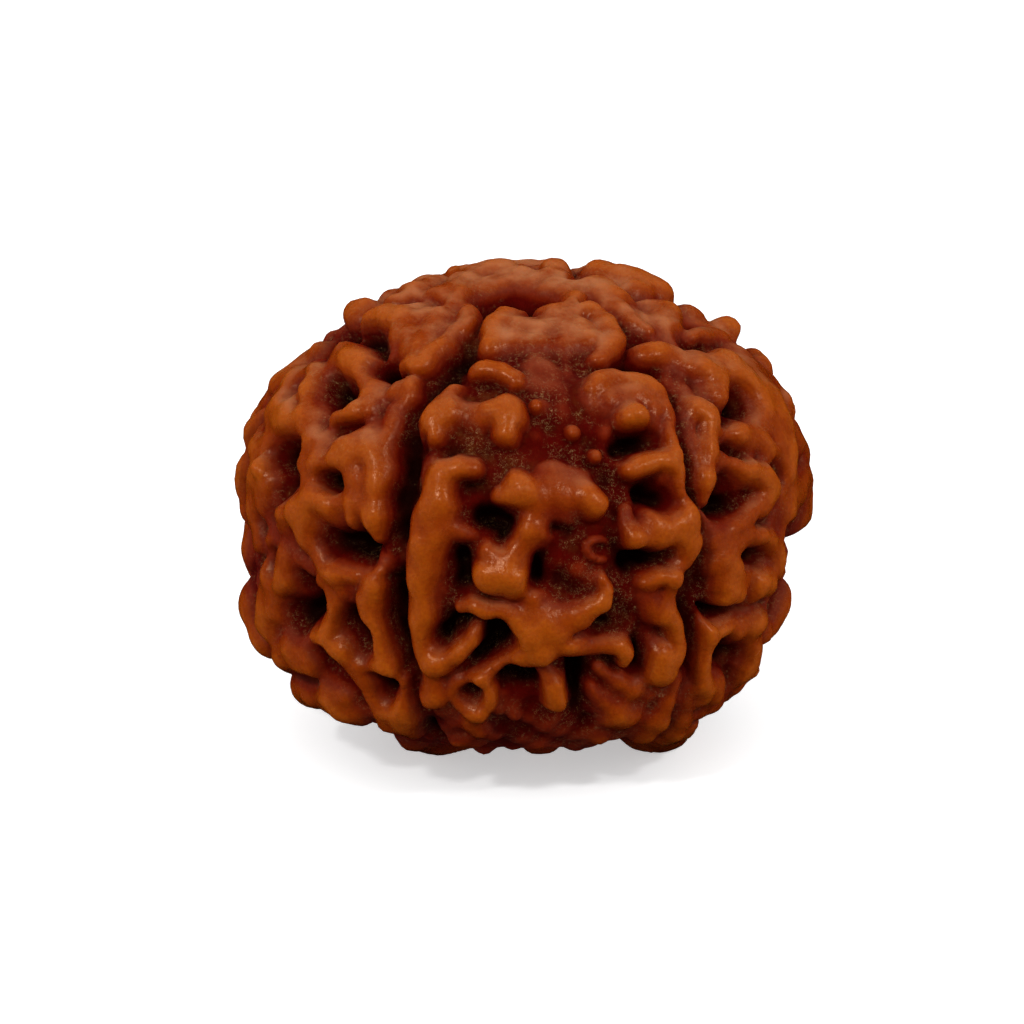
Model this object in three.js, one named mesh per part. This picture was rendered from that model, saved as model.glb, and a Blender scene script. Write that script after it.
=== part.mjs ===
// Rudraksha seed: the knobbly stone of the fruit, one solid grown in six faces, with the
// blind mouths of its natural channel above and below. Millimetres, +Z up, on its lowest knobs.
import * as THREE from 'three';
import { mergeVertices } from 'three/addons/utils/BufferGeometryUtils.js';

// Driving dimensions, in millimetres
const WIDTH = 22;
const HEIGHT = 18;
const BELLY_HEIGHT = 9.1; // of the widest level, above the surface that it rests on
const SHOULDER_POWER = 2.32; // squareness of the upper half's outline
const HAUNCH_POWER = 3.2; // squareness of the lower half's outline
const RELIEF = 1.2; // from the tops of the ridges down to the floor between them
const COLOUR = 0xa24f17;
const ROUGHNESS = 0.5;

// The mesh that carries the relief
const START_DETAIL = 18;
const TRIANGLES = 11300;
const ROUNDS = 2; // of refining, each followed by turning edges
const EDGE_MIN = 0.028; // shortest edge that is still split, to the radius
const SPLIT_SHARE = 0.05; // of the triangles that are split in one sweep
const SPLIT_YIELD = 2.5; // triangles that one split adds, about
const SPLIT_DEPTH = 30; // how far a split may run on into longer neighbours
const TURN_GAIN = 0.004; // closer to the skin that a turned edge has to lie
const TURN_SWEEPS = 4;
const CORNER_MIN = 0.12; // flattest triangle that a turned edge may leave
const KEY_STEP = 100000;

const RIDGE_SPREAD = 1.4; // how far a ridge's foot runs out, to its half width
const PIT_SPREAD = 2.1;
const GROOVE_SPREAD = 1.9;
const CELL = 0.1; // of the grid that the strokes are sorted into, to the radius
const CELL_ROWS = 100;
const UNION_POWER = 4; // how sharply one ridge runs into another, or into the mass that it stands on
const WANDER = 0.006; // how far the pattern is bent, to the radius
const FLOOR_RISE = 0.32; // of the floor between the ridges, over the full depth of the relief

// Slow swells and hollows of the outline: longitude, latitude, spread in degrees, share of the radius
const SWELLS = [
  [100, 22, 24, 0.03], [78, -36, 16, -0.055], [90, 5, 12, 0.02], [-102, 48, 16, 0.02],
  [-80, -18, 13, 0.025], [5, -50, 22, -0.03], [-100, 34, 9, -0.05], [106, 43, 8, -0.035],
  [-122, 46, 24, -0.02], [140, 55, 18, 0.01],
];

// Ridges and knobs: each is a path of [longitude, latitude, half width in degrees, height in mm].
// Longitude 0 is the front, -Y, and grows towards +X; latitude is from the widest level.
const FRONT_RIDGES = {
  hook: [[-11.3, 28, 2.6, 1.08], [-14.5, 27.9, 3, 1.15], [-17, 26, 3.4, 1.15], [-18.4, 22.5, 4, 1.15],
    [-18.6, 19, 4.7, 1.15], [-19, 15, 5.1, 1.1], [-20, 10, 4.9, 1.15], [-20.5, 5, 4, 1.1],
    [-20.8, 0, 3.8, 1.1], [-20.8, -5, 4, 1.15], [-20, -9.5, 3.2, 1.1], [-18.4, -13, 3, 1.1]],
  hookBar: [[-15, 14.6, 2.6, 0.8], [-12.9, 14.4, 2.1, 0.72], [-11.2, 14.5, 1.8, 0.62]],
  twinKnob: [[-4.3, 22.8, 2.4, 0.95], [-1, 23.6, 4.2, 1.3]],
  shelf: [[4, 22.5, 4.2, 0.95], [8.2, 22.8, 4.4, 0.92], [12.5, 22, 4, 0.95]],
  shelfKnob: [[14.6, 21.6, 3, 1.1], [15.6, 20, 3, 1.2]],
  shelfSkirt: [[2.5, 17, 4.2, 0.85], [8, 17.5, 3.6, 0.75]],
  shelfTop: [[5, 26.4, 2.8, 0.78], [9, 26.6, 3, 0.78], [13.5, 25, 2.8, 0.7]],
  nodule: [[-7, 6, 3.4, 1.15], [-3.6, 6.1, 3.8, 1.2], [-1, 6, 2.8, 1.1]],
  noduleTop: [[-6.5, 11, 2.6, 0.92], [-2.5, 11.2, 3, 0.98]],
  noduleStem: [[1.6, 15, 3, 0.84], [0, 11, 3.3, 0.84], [-1.3, 7, 3.1, 0.98], [-1.2, 3.5, 2.4, 1]],
  wave: [[-11.8, -0.8, 1.6, 0.85], [-9.4, -0.3, 2.2, 1], [-6.5, -1.4, 2.3, 1.05], [-3, -2.4, 3, 1],
    [1.5, -3.9, 4, 1], [5.3, -3.6, 4, 1], [10, -3.2, 3.4, 1.02], [13.4, -2, 2.8, 1.1], [16, 0, 2.2, 1.15],
    [17.2, 2.4, 1.8, 1.1], [16.4, 4.8, 1.4, 0.9]],
  plate: [[1.5, -6, 4, 1], [5.4, -6.5, 4.4, 1], [8.5, -7.5, 3.6, 0.95], [4.5, -9, 3.6, 1]],
  plateTongue: [[3.2, -10.3, 2.8, 0.95], [-0.3, -11.2, 2.4, 0.98], [-3.2, -12.6, 2.1, 0.98],
    [-6.6, -14.4, 2.1, 0.98], [-10.2, -16.4, 2.1, 0.95], [-14, -17.8, 2, 0.9]],
  plateArm: [[10.1, -9.4, 2.6, 0.92], [13.7, -9.4, 2.2, 0.85], [17.2, -9.7, 2.1, 0.9],
    [20.3, -10, 2.2, 1.05], [21.9, -11.6, 2.1, 1.2], [21.9, -13.4, 1.8, 1.1]],
  pitRim: [[-9.4, -5.4, 2, 0.9], [-9.9, -7.6, 2.3, 1], [-11.9, -9.8, 2.3, 1.05], [-15, -12, 2.5, 1.08],
    [-17.6, -13.8, 2.6, 1.05]],
  lowKnob: [[-18.2, -17.5, 2.8, 1.05], [-18.4, -20.5, 3.6, 1.18]],
  ring: [[-14.1, -19.4, 1.8, 0.95], [-12.3, -21.8, 2, 1], [-9.4, -23.4, 2.2, 1], [-7.1, -21.2, 1.9, 1],
    [-6.7, -18.2, 1.8, 0.98], [-8, -15.6, 1.8, 0.95]],
  chin: [[-9.9, -24, 2.8, 1], [-10.4, -28.4, 2.4, 0.9]],
  uprightKnob: [[4.8, -14.4, 2, 0.85], [6.5, -17.4, 2.8, 1.12], [7, -20.8, 3, 1.15]],
  lowNub: [[-5, -24, 1.7, 0.75]],
  slantRidge: [[16.1, -14.8, 1.6, 0.7], [19.4, -17.2, 1.8, 0.74], [22.9, -20.4, 1.7, 0.7]],
  hoodBand: [[25.4, 25.7, 2, 1], [28, 26.8, 2.4, 1.12], [32, 27, 2.5, 1.15], [36, 26, 2.8, 1.15],
    [37.6, 23.5, 2.3, 1.1], [36.6, 20, 1.7, 1.05], [36.8, 17.5, 2.1, 1.05], [36.5, 14, 3, 1.1]],
  cheek: [[25, 12.5, 3.6, 1.05], [29, 13.3, 5, 1.1], [33.5, 13.3, 5.2, 1.15], [36.3, 9.5, 3.6, 1.1],
    [35, 5.8, 2.6, 1.05]],
  cheekRim: [[22.8, 18, 1.6, 0.75], [23, 15, 1.9, 0.9], [23.3, 12, 2.2, 1.1]],
  lip: [[25.6, 3.1, 2, 1], [28.5, 3.2, 2.2, 1.1], [31.5, 3, 2.2, 1.1]],
  rightEdge: [[32.8, 5, 1.6, 1], [31.6, 2, 2.1, 1.1], [30.6, -1.5, 2.4, 1.1], [30.6, -4.5, 3, 1.1],
    [32.7, -7.8, 2.6, 1.12], [33.6, -11.4, 2.4, 1.15], [32.8, -14.2, 2, 1]],
  roundKnob: [[29.5, -13.9, 3.4, 1.15], [29.7, -16.8, 4, 1.22]],
  footLobe: [[35, -21, 2.6, 0.95], [34, -25, 3.2, 1], [32, -30, 3.2, 0.95], [31, -36, 3, 0.9]],
  smallRing: [[18, 12.2, 0.8, 0.5], [16.7, 12.9, 0.9, 0.6], [15.2, 13, 0.9, 0.65], [13.9, 12, 0.9, 0.65],
    [13.6, 10.6, 0.9, 0.65], [14.4, 9.3, 0.9, 0.6], [15.9, 8.6, 0.8, 0.6], [17.5, 8.7, 0.7, 0.5]],
  goldNub: [[17.7, 29.8, 1.6, 0.85]],
  crossNubs: [[4.4, 42, 1.8, 0.95], [6, 42.4, 1.8, 0.7]],
  columnNub: [[13.5, 35.6, 1.9, 0.85]],
  column: [[6, 54, 4.5, 0.72], [8, 49, 5, 0.6], [10, 44, 5, 0.5], [12, 39, 4, 0.4]],
  bowKnob: [[-22.2, 44, 3.2, 1.05], [-22.5, 41, 4.3, 1.18], [-23, 37.5, 4.9, 1.2], [-23, 35, 4, 1.12]],
  bowWeb: [[-18, 40, 3.5, 0.92], [-13.6, 39.4, 3.6, 0.9], [-10, 39.4, 3.4, 0.95]],
  bowEnd: [[-6.8, 41, 3.5, 1.1], [-4.4, 41.3, 4, 1.2], [-3.5, 38.8, 4.1, 1.22], [-4, 36, 3.4, 1.12]],
  crownBar: [[-16.5, 50.8, 2.3, 1], [-12, 51.8, 2.7, 1.1], [-7, 51.5, 2.7, 1.1], [-3, 49.8, 2.6, 1.1],
    [-1.5, 47.8, 2, 0.95]],
  hoodRim: [[22.5, 45.5, 2.2, 0.95], [26, 47.3, 2.6, 1.1], [31, 47.4, 2.6, 1.1], [36, 46, 2.6, 1.1],
    [40.5, 43.8, 2.6, 1.1], [42.3, 40, 2.4, 1.1], [41.8, 35.5, 2.2, 1.1], [40, 31.5, 2.4, 1.15],
    [38, 28, 2.6, 1.1]],
  hoodPlate: [[27, 43, 3.4, 0.95], [32, 42, 3.6, 0.95], [37, 41, 3.6, 0.95], [38.5, 37.5, 2.6, 0.9]],
  hoodKnob: [[29.8, 36.6, 3.3, 1.45]],
  lowNubRight: [[-1.5, -25.5, 1.6, 0.7]],
  edgeLump: [[27, 0.5, 3, 0.85], [28.5, -4, 3.4, 0.9]],
  slantLow: [[14.5, -19.9, 1.7, 0.66], [18.1, -23.6, 1.9, 0.7], [22.4, -26.6, 1.9, 0.68]],
};

const FRONT_PITS = {
  grooveEyes: [[-24.5, 33, 1.3, 0.5], [-25.5, 27, 1.2, 0.4]],
  grooveLow: [[-26.8, 19.5, 1.6, 0.6], [-26.8, 14, 1.4, 0.5]],
  grooveCup: [[-25.6, -2, 1.8, 0.55], [-25.6, -8, 1.8, 0.6]],
  underTwinKnob: [[-8.5, 18.3, 1.8, 0.85], [-5, 17.3, 2.3, 1.25], [-3, 16.8, 1.9, 1.25],
    [-4.5, 13.5, 1.6, 0.7]],
  leftSlot: [[-13, 9, 1.9, 0.9], [-12.4, 4.5, 1.9, 0.9]],
  rightSlot: [[3.1, 9.5, 1.6, 0.8], [3, 5.5, 1.7, 0.95]],
  eye: [[29, 20.5, 2.4, 1.25], [31, 18.6, 2.4, 1.25]],
  mouth: [[23.5, 7, 1.8, 1.25], [27, 7.3, 1.9, 1.25], [30, 7.5, 1.6, 0.55]],
  underHood: [[25, 31.7, 2.2, 1], [29, 32, 2.2, 1.25], [33, 31.5, 2, 0.7]],
  middle: [[6.6, 15.8, 1.3, 0.75], [10, 14.8, 1.2, 0.45]],
  leftCup: [[-10.8, -3.4, 1.5, 0.6], [-14, -5, 2.3, 1.15], [-16.2, -7.6, 2, 1.25]],
  middleCup: [[-4.6, -4.8, 1.8, 1], [-4.2, -7.4, 2.2, 1.1], [-6.2, -9.8, 1.9, 0.9],
    [-9.5, -12.4, 1.5, 0.5]],
  underTongue: [[-2.2, -15.8, 2.3, 1.2], [0.8, -17, 1.9, 1.25]],
  besideKnob: [[11.5, -14.2, 1.7, 1.1], [11.5, -17.6, 1.9, 1.3], [12, -24, 2, 0.5]],
  slit: [[10.5, -6.6, 0.9, 0.35], [14, -6.2, 1, 0.5], [17.5, -5.8, 1.2, 0.5]],
  underArm: [[24, -15.8, 1.4, 1], [24.5, -10, 1.6, 0.4]],
  ringHole: [[-10.4, -19.4, 1.9, 0.8]],
};

const LEFT_RIDGES = {
  borderTop: [[-38.5, 42.5, 3.2, 1], [-36, 44.3, 3, 1.05], [-33.5, 42, 2.3, 0.95], [-35.5, 38, 2.7, 0.85],
    [-34.5, 33, 3, 0.85]],
  brow: [[-44.2, 26.6, 4.1, 1.1], [-40, 28.3, 4.6, 1.1], [-35.5, 28.6, 4.3, 1.05], [-33, 25, 3.4, 1.05],
    [-32.3, 20, 3.1, 1.05], [-31.8, 15.5, 2.8, 1.05], [-31.3, 11.8, 1.9, 0.95]],
  browSkirt: [[-42, 23.5, 2.7, 0.9], [-38.5, 21.5, 3.6, 0.95], [-37.2, 18, 3.4, 0.9]],
  leafBar: [[-52, 31.6, 1.9, 0.95], [-50, 33.5, 2.6, 1.1], [-47, 35, 2.7, 1.12], [-43.2, 36.2, 2.3, 0.98]],
  leafStem: [[-51.8, 30, 1.7, 0.75], [-51, 26.5, 2.3, 0.8]],
  topLobe: [[-46.6, 39.4, 2.7, 0.95], [-51.3, 41.8, 3.2, 1], [-58.7, 44.6, 4.1, 1.1],
    [-67, 46, 5.5, 1.15], [-72, 45, 5, 1.05]],
  archRim: [[-98, 50, 4.6, 1.3], [-92, 51.5, 4.6, 1.3], [-86, 54, 4.6, 1.2], [-76, 57.5, 4.1, 1.1],
    [-66, 59, 3.6, 1]],
  nub: [[-46.5, 42.6, 1.8, 0.95], [-44.5, 42, 1.6, 0.9]],
  valley: [[-42, 38, 3.4, 0.6], [-40, 33, 3.2, 0.65]],
  midBar: [[-84, 25, 4.1, 1.05], [-76, 26.5, 3.9, 1.05], [-70, 26.3, 3.6, 1.05], [-65, 26.8, 3.6, 1],
    [-60, 27.5, 3.4, 1], [-56, 26, 3, 0.95], [-55.5, 21, 2.7, 0.95]],
  upright: [[-75.5, 37.6, 2.5, 1], [-69.8, 35.7, 2.5, 1], [-65.6, 33.1, 2.6, 1], [-63.5, 30.5, 2.7, 1]],
  outerTop: [[-88, 34.5, 4.6, 1.05], [-84, 32, 4.8, 1.1], [-80, 30, 4.6, 1.1], [-77, 28, 3.9, 1.05]],
  outerMiddle: [[-88, 19, 4.6, 1.05], [-78, 16.5, 5.1, 1.1], [-69, 13.5, 5, 1.1]],
  outerNub: [[-69, 15.5, 2.3, 1.25]],
  star: [[-51.5, 19.5, 3.6, 0.95], [-50.8, 15, 4, 1], [-51, 10.5, 4.6, 1.1], [-50, 6.8, 3.3, 1.1],
    [-46, 4.4, 2.3, 0.9]],
  starSpike: [[-54, 10.5, 3, 1.05], [-59, 9.3, 1.5, 0.95]],
  starArm: [[-48, 16.5, 3.4, 1], [-44, 15.5, 3, 0.9], [-42, 16.5, 2.5, 0.8]],
  pitRoof: [[-51, 23, 3.1, 1], [-46.5, 23.6, 2.8, 0.95]],
  leaf: [[-38.2, 17.6, 1.4, 0.9], [-37.8, 15, 1.7, 1], [-36.8, 12.3, 1.5, 0.95]],
  leafFlank: [[-35.3, 16, 2.3, 0.5]],
  ledge: [[-32, 8, 1.8, 0.75], [-29.5, 5.5, 2.7, 0.75], [-27, 6.5, 2.5, 0.6]],
  tooth: [[-41, 1.2, 2.7, 1], [-39, 3.2, 3, 1.1], [-36.2, 3.2, 2.4, 0.95]],
  thread: [[-45, 3.6, 1.5, 0.75], [-43.8, 0.6, 1.8, 0.85], [-45.3, -1.7, 1.8, 0.9]],
  inner: [[-43, -2.5, 2.7, 0.85], [-41.5, -6, 3.4, 1], [-43, -9.5, 3.4, 1.05], [-45.5, -12.5, 3, 1]],
  zigzag: [[-30, 4, 1.6, 0.9], [-30.8, 1, 2.6, 1.1], [-31.8, -2.5, 3.6, 1.15], [-31.6, -5.5, 3.4, 1.15],
    [-30, -9, 2.8, 1.1], [-28.6, -12.5, 2.6, 1.05], [-27.4, -15, 2.4, 1]],
  belly: [[-57, -4.5, 3.6, 1], [-62, -6.5, 5.7, 1.1], [-64, -12, 6.3, 1.15], [-65, -17, 4.6, 1.1]],
  sill: [[-58, 5, 2.3, 0.6], [-56.5, 1, 3, 0.85], [-55, -3, 2.5, 0.8]],
  diagonal: [[-47.5, -12.5, 2.7, 1], [-43.5, -13.5, 3.1, 1.05], [-40, -15, 3.3, 1.1],
    [-36.5, -18.3, 3.3, 1.05], [-33.5, -22, 3.1, 1], [-32, -26.5, 3.4, 1], [-32, -31, 3.4, 0.95]],
  cross: [[-34, -15.5, 2.6, 0.95], [-30.5, -15.8, 2.5, 1], [-27.5, -16.4, 2.4, 1]],
  holeRim: [[-25.8, -19, 2.6, 1], [-25.4, -23.5, 3.1, 1.1], [-26.5, -28.5, 3.1, 1.05],
    [-28, -34, 3.1, 0.95]],
  haunch: [[-52, -21, 3.4, 1], [-57, -21.5, 4.3, 1.1], [-61, -24, 4.3, 1.1]],
  haunchFoot: [[-68, -38, 4.1, 1], [-62, -32, 4.1, 1], [-55, -30, 3.9, 1], [-48, -30, 3.6, 1],
    [-42, -32.5, 3.4, 0.95]],
  outerLower: [[-74, 8, 3.9, 1.1], [-73, 3, 3.6, 1.1], [-70, -1.5, 3.2, 1]],
  edgeTop: [[-104, 34, 4.6, 0.75]],
  edgeUpper: [[-98, 28, 5.7, 1.1]],
  edgeMiddle: [[-92, 15, 5.5, 1.3]],
  edgeLower: [[-91, 6, 5.7, 1.35], [-91, -1, 5.1, 1.2]],
  edgeBelly: [[-87, -8, 5.7, 1]],
  edgeHaunch: [[-82, -19, 5.1, 1.1], [-74, -24, 4.1, 1.05]],
};

const LEFT_PITS = {
  underArch: [[-78, 50.5, 2.8, 0.5], [-68, 51, 3.2, 0.73], [-61, 50, 2.6, 0.56]],
  besideNub: [[-51, 45.5, 1.9, 0.95], [-47.5, 45.8, 1.9, 1.12]],
  browPit: [[-61.7, 37, 2.6, 1.23], [-56.6, 36.8, 3, 1.5], [-52, 36.6, 2.2, 1.12]],
  outerHollow: [[-74, 32, 2.3, 0.67]],
  midPit: [[-66, 20.2, 2.6, 1.23], [-63, 21.6, 2.8, 1.5], [-59.6, 23, 1.9, 0.9]],
  crownHole: [[-40, 46.6, 1, 0.62]],
  slotUnderLeaf: [[-49, 29, 1.5, 0.39], [-45, 30.5, 1.5, 0.45]],
  starValley: [[-60, 17, 1.7, 0.55], [-61.7, 12, 2.2, 0.72], [-63, 7.5, 1.8, 0.45]],
  roundPit: [[-46, 19.6, 1.6, 1.12], [-44.2, 20, 1.7, 1.5]],
  ovalPit: [[-41.5, 8.3, 2.3, 0.78], [-38, 7.6, 3, 1.4], [-34.5, 8.3, 2.8, 1.5]],
  sillSlot: [[-61.5, -0.5, 1.6, 0.67], [-61.5, -3.2, 1.9, 0.95]],
  cup: [[-51, -2.5, 2, 0.45], [-47, -6.5, 2.7, 1.29], [-48.5, -9.5, 2.7, 1.46], [-53.5, -13, 2.4, 1.23]],
  zigzagPit: [[-37, -8.5, 2.2, 1.06], [-34.5, -10.5, 2.7, 1.5], [-34, -12.5, 2.2, 1.01]],
  haunchPit: [[-47, -17.5, 2.2, 0.9], [-44.5, -18.5, 2.7, 1.5], [-42, -21, 2.3, 1.06],
    [-38.5, -25, 2, 0.73], [-36, -29, 1.8, 0.5]],
  smallHole: [[-29, -20, 2.3, 1.4], [-30, -22, 1.9, 0.84]],
  footHollow: [[-36, -36.5, 2.2, 0.62], [-32, -36, 2.2, 0.45]],
  edgeNotch: [[-100, 41.5, 2.6, 1.3], [-92, 41, 2.4, 1.3], [-86, 41.5, 2, 0.8]],
  lowHole: [[-58, -27, 2, 0.67], [-53, -26, 2, 0.62]],
  bellyNotch: [[-74, -18, 2.4, 0.78], [-68, -21, 2, 0.62]],
  edgeGap: [[-84, 21.5, 2, 0.39], [-82, 11, 2.2, 0.28], [-80, -4, 2.2, 0.39]],
};

const RIGHT_RIDGES = {
  border: [[49.5, 35.3, 2.7, 1], [51.5, 32.6, 3.1, 1.1], [50.6, 30, 3.1, 1.1], [47.6, 27.5, 2.9, 1.1],
    [45.6, 24.5, 2.6, 1.05], [44, 20.5, 2.5, 1.05], [43.2, 17, 2.2, 1]],
  borderLobe: [[51, 34.5, 3.4, 1.05], [53, 32, 2.7, 1.05]],
  crownLobe: [[49.5, 50.8, 3.6, 1.05], [54, 50.4, 4.3, 1.15], [58.5, 47.5, 3.8, 1.1], [62, 42, 3.4, 1.05]],
  dustyLobe: [[66, 43, 3.4, 0.9], [64, 39, 4.7, 1], [61, 35.5, 4.5, 0.95]],
  dustyNub: [[66.5, 33.5, 2.5, 1.1]],
  bigLobe: [[73, 40, 5.6, 1.1], [76, 34, 6.7, 1.15], [77, 27, 7.3, 1.15], [76, 20, 6.2, 1.1],
    [74, 13, 3.8, 1.05]],
  bigLobeBack: [[88, 34, 7.3, 0.95], [91, 22, 7.8, 0.88], [92, 11, 6.7, 1.05]],
  bigLobeTop: [[80, 47.5, 2.8, 0.9], [88, 45, 3.1, 1], [96, 41, 3.4, 1]],
  upperLobe: [[54, 28, 2.7, 0.8], [60, 26, 3.1, 1], [65, 23, 3.4, 1.05], [67.5, 19, 2.9, 1]],
  cupRim: [[48, 24.5, 1.8, 0.8], [52, 22.2, 2.4, 1], [56.5, 18.8, 2.9, 1.15], [61.5, 15.8, 3.8, 1.2],
    [63, 12.8, 3.6, 1.15], [57.5, 10.3, 2.7, 1], [52, 9.4, 2.2, 0.9], [47, 10.8, 1.8, 0.8]],
  ledge: [[41, 14, 1.4, 0.7], [43, 11, 2.9, 0.75], [46, 8.5, 3.4, 0.75], [49, 6, 2.7, 0.7]],
  arch: [[47.8, 4.5, 1.8, 0.8], [51.5, 5.5, 2.4, 0.9], [56.5, 5, 2.8, 1], [61, 3, 3.2, 1.05],
    [64, -1, 2.9, 1]],
  lowLobe: [[70, 6, 4, 1.05], [77, 7.5, 4.9, 1.1], [86, 5, 5.4, 1.1], [85, -1.5, 4, 1.1]],
  middleLobe: [[44, 2.5, 3.6, 1.05], [46.5, -0.5, 4.9, 1.15], [48.5, -3, 4.5, 1.1], [46, -5, 3.6, 1]],
  smallKnob: [[56, -5.5, 3.4, 1.05], [60, -6.5, 3.6, 1.1]],
  edgeKnob: [[65, -4, 3.1, 1.05], [68, -8, 3.4, 1.05]],
  lowBar: [[42, -11.5, 2.6, 0.95], [46, -12.5, 3.4, 1], [50, -12.5, 3.4, 1], [54, -13, 3.1, 1],
    [58, -13.5, 2.9, 1]],
  longRidge: [[40.8, -8, 1.5, 0.95], [40.5, -13, 2.2, 1], [40.5, -18, 2.6, 1.05], [41.5, -23, 2.8, 1.1],
    [42.8, -27, 2.4, 1]],
  secondRidge: [[43, -14, 1.6, 0.8], [44.5, -18, 1.8, 0.9], [46.5, -23, 2.4, 0.95], [48, -27, 2.8, 1]],
  outerLobe: [[56, -15, 3.8, 1], [57, -19.5, 4.3, 1.1], [57, -25, 4, 1.05]],
  foot: [[37, -24, 2.2, 0.9], [39.5, -30, 3.1, 1], [40.5, -36, 3.4, 1.05], [43, -42, 3.6, 1.1]],
  footWeb: [[47, -33, 3.6, 0.95], [53, -34, 3.6, 0.95]],
  outerKnobs: [[72, -21, 4.5, 1.05], [79, -17, 4.5, 1.15]],
  lowerKnobs: [[60, -33, 3.8, 1], [66, -29, 4, 1], [73, -31.5, 4, 0.85]],
  borderInner: [[45.5, 34.4, 2.5, 0.9], [44, 30.5, 2.4, 0.9], [42.8, 25, 1.9, 0.86], [41.3, 20, 1.6, 0.8]],
};

// Low broad masses that the ridges of each face stand on
const FRONT_MASSES = {
  leftUpper: [[-20, 24, 5, 0.55], [-19, 12, 5, 0.55], [-19, 0, 5, 0.55], [-16, -12, 6, 0.55]],
  leftLower: [[-12, -20, 6, 0.66], [-13, -32, 7, 0.72]],
  bow: [[-20, 38, 5, 0.44], [-6, 38, 5, 0.39]],
  hood: [[24, 44, 5, 0.55], [34, 42, 6, 0.66], [38, 32, 5, 0.66]],
  right: [[34, 22, 5, 0.66], [33, 12, 6, 0.66], [32, 0, 5, 0.55], [31, -10, 5, 0.66], [30, -20, 6, 0.77],
    [31, -32, 7, 0.77]],
  middle: [[6, 21, 7, 0.5], [-4, 8, 6, 0.55], [3, -6, 7, 0.85], [10, -6, 5, 0.85]],
  bottom: [[2, -26, 7, 0.44], [12, -27, 6, 0.39], [4, -36, 7, 0.5], [18, -37, 7, 0.5]],
  dome: [[21, -20, 5, 0.72], [23, -26, 6.5, 0.83], [22, -33, 6, 0.72]],
};

const LEFT_MASSES = {
  top: [[-43, 40, 5, 0.72], [-52, 37, 6, 0.72], [-62, 36, 7, 0.89], [-74, 34, 8, 0.92]],
  upper: [[-38, 25, 5, 0.83], [-50, 25, 6, 0.83], [-60, 26, 6, 0.89], [-74, 22, 8, 0.92]],
  middle: [[-35, 15, 4.5, 0.77], [-46, 14, 6, 0.83], [-55, 10, 6, 0.89], [-72, 9, 6, 0.92]],
  lower: [[-33, 2, 4.5, 0.72], [-42, -1, 5, 0.77], [-51, 2, 5, 0.65], [-62, -3, 7, 0.89]],
  haunch: [[-30, -13, 5, 0.72], [-40, -13, 5, 0.83], [-52, -18, 6, 0.83], [-64, -17, 8, 0.92]],
  foot: [[-27, -28, 6, 0.77], [-40, -28, 6, 0.77], [-54, -28, 7, 0.83]],
};

const RIGHT_MASSES = {
  top: [[46, 41, 4, 0.57], [56, 41, 6, 0.79], [70, 38, 8, 0.92]],
  upper: [[48, 30, 5, 0.74], [60, 29, 6, 0.74], [76, 26, 9, 0.92]],
  middle: [[45, 20, 4, 0.68], [56, 20, 5, 0.74], [72, 15, 8, 0.92]],
  ledge: [[44, 9, 5, 0.74], [54, 6, 6, 0.74], [68, 4, 8, 0.92]],
  lower: [[46, -3, 5, 0.79], [58, -5, 6, 0.91], [70, -8, 7, 0.92]],
  haunch: [[42, -12, 4, 0.79], [50, -13, 5, 0.79], [62, -18, 7, 0.91]],
  foot: [[42, -25, 5, 0.86], [54, -27, 6, 0.79], [66, -26, 7, 0.86]],
};

const RIGHT_PITS = {
  crownSlot: [[36, 49.6, 1.7, 0.62], [42, 48.2, 1.9, 0.78], [47, 46.5, 1.8, 0.62]],
  topSlot: [[73, 45, 1.9, 0.62], [79, 44.6, 1.5, 0.78]],
  lobePit: [[56, 30.5, 1.7, 0.65], [62, 30.4, 2.1, 0.84], [68, 31.4, 2.9, 1.5]],
  upperSlit: [[54, 23.5, 1.7, 0.62], [57, 22, 1.6, 0.62]],
  cup: [[49, 17.5, 2.5, 0.84], [46.8, 14.8, 3.1, 1.5], [50, 13.6, 2.5, 1.01]],
  sideSlit: [[67.5, 16.5, 1.3, 0.62], [69, 13.5, 1.4, 0.78]],
  archPit: [[53, 1.6, 1.8, 0.67], [57, 0.2, 1.9, 0.84]],
  lobeSlit: [[57, 7.8, 1.1, 0.45], [60, 6.8, 1.1, 0.45]],
  barSlit: [[41.5, -7.5, 1.2, 0.78], [46.5, -8, 1.4, 0.9]],
  ridgePit: [[45.5, -16, 2.3, 1.34], [47.5, -20.5, 2.4, 1.12], [51, -24, 2.2, 0.62]],
  edgeGap: [[70, 1.5, 1.8, 0.6], [66, -12.5, 2.2, 0.8], [77, -9.5, 2.6, 0.95], [84, -9, 3, 1.2],
    [91, -10, 3.4, 1.5], [96, -13.5, 3, 1.5]],
  lowGap: [[64, -24.5, 2.2, 0.78], [76, -26, 2.2, 0.67]],
  midGap: [[52.5, -20, 2, 0.67]],
  borderSlit: [[46.8, 31, 0.9, 0.2], [45, 27, 0.9, 0.22], [43.6, 22.5, 0.8, 0.2]],
};

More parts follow.
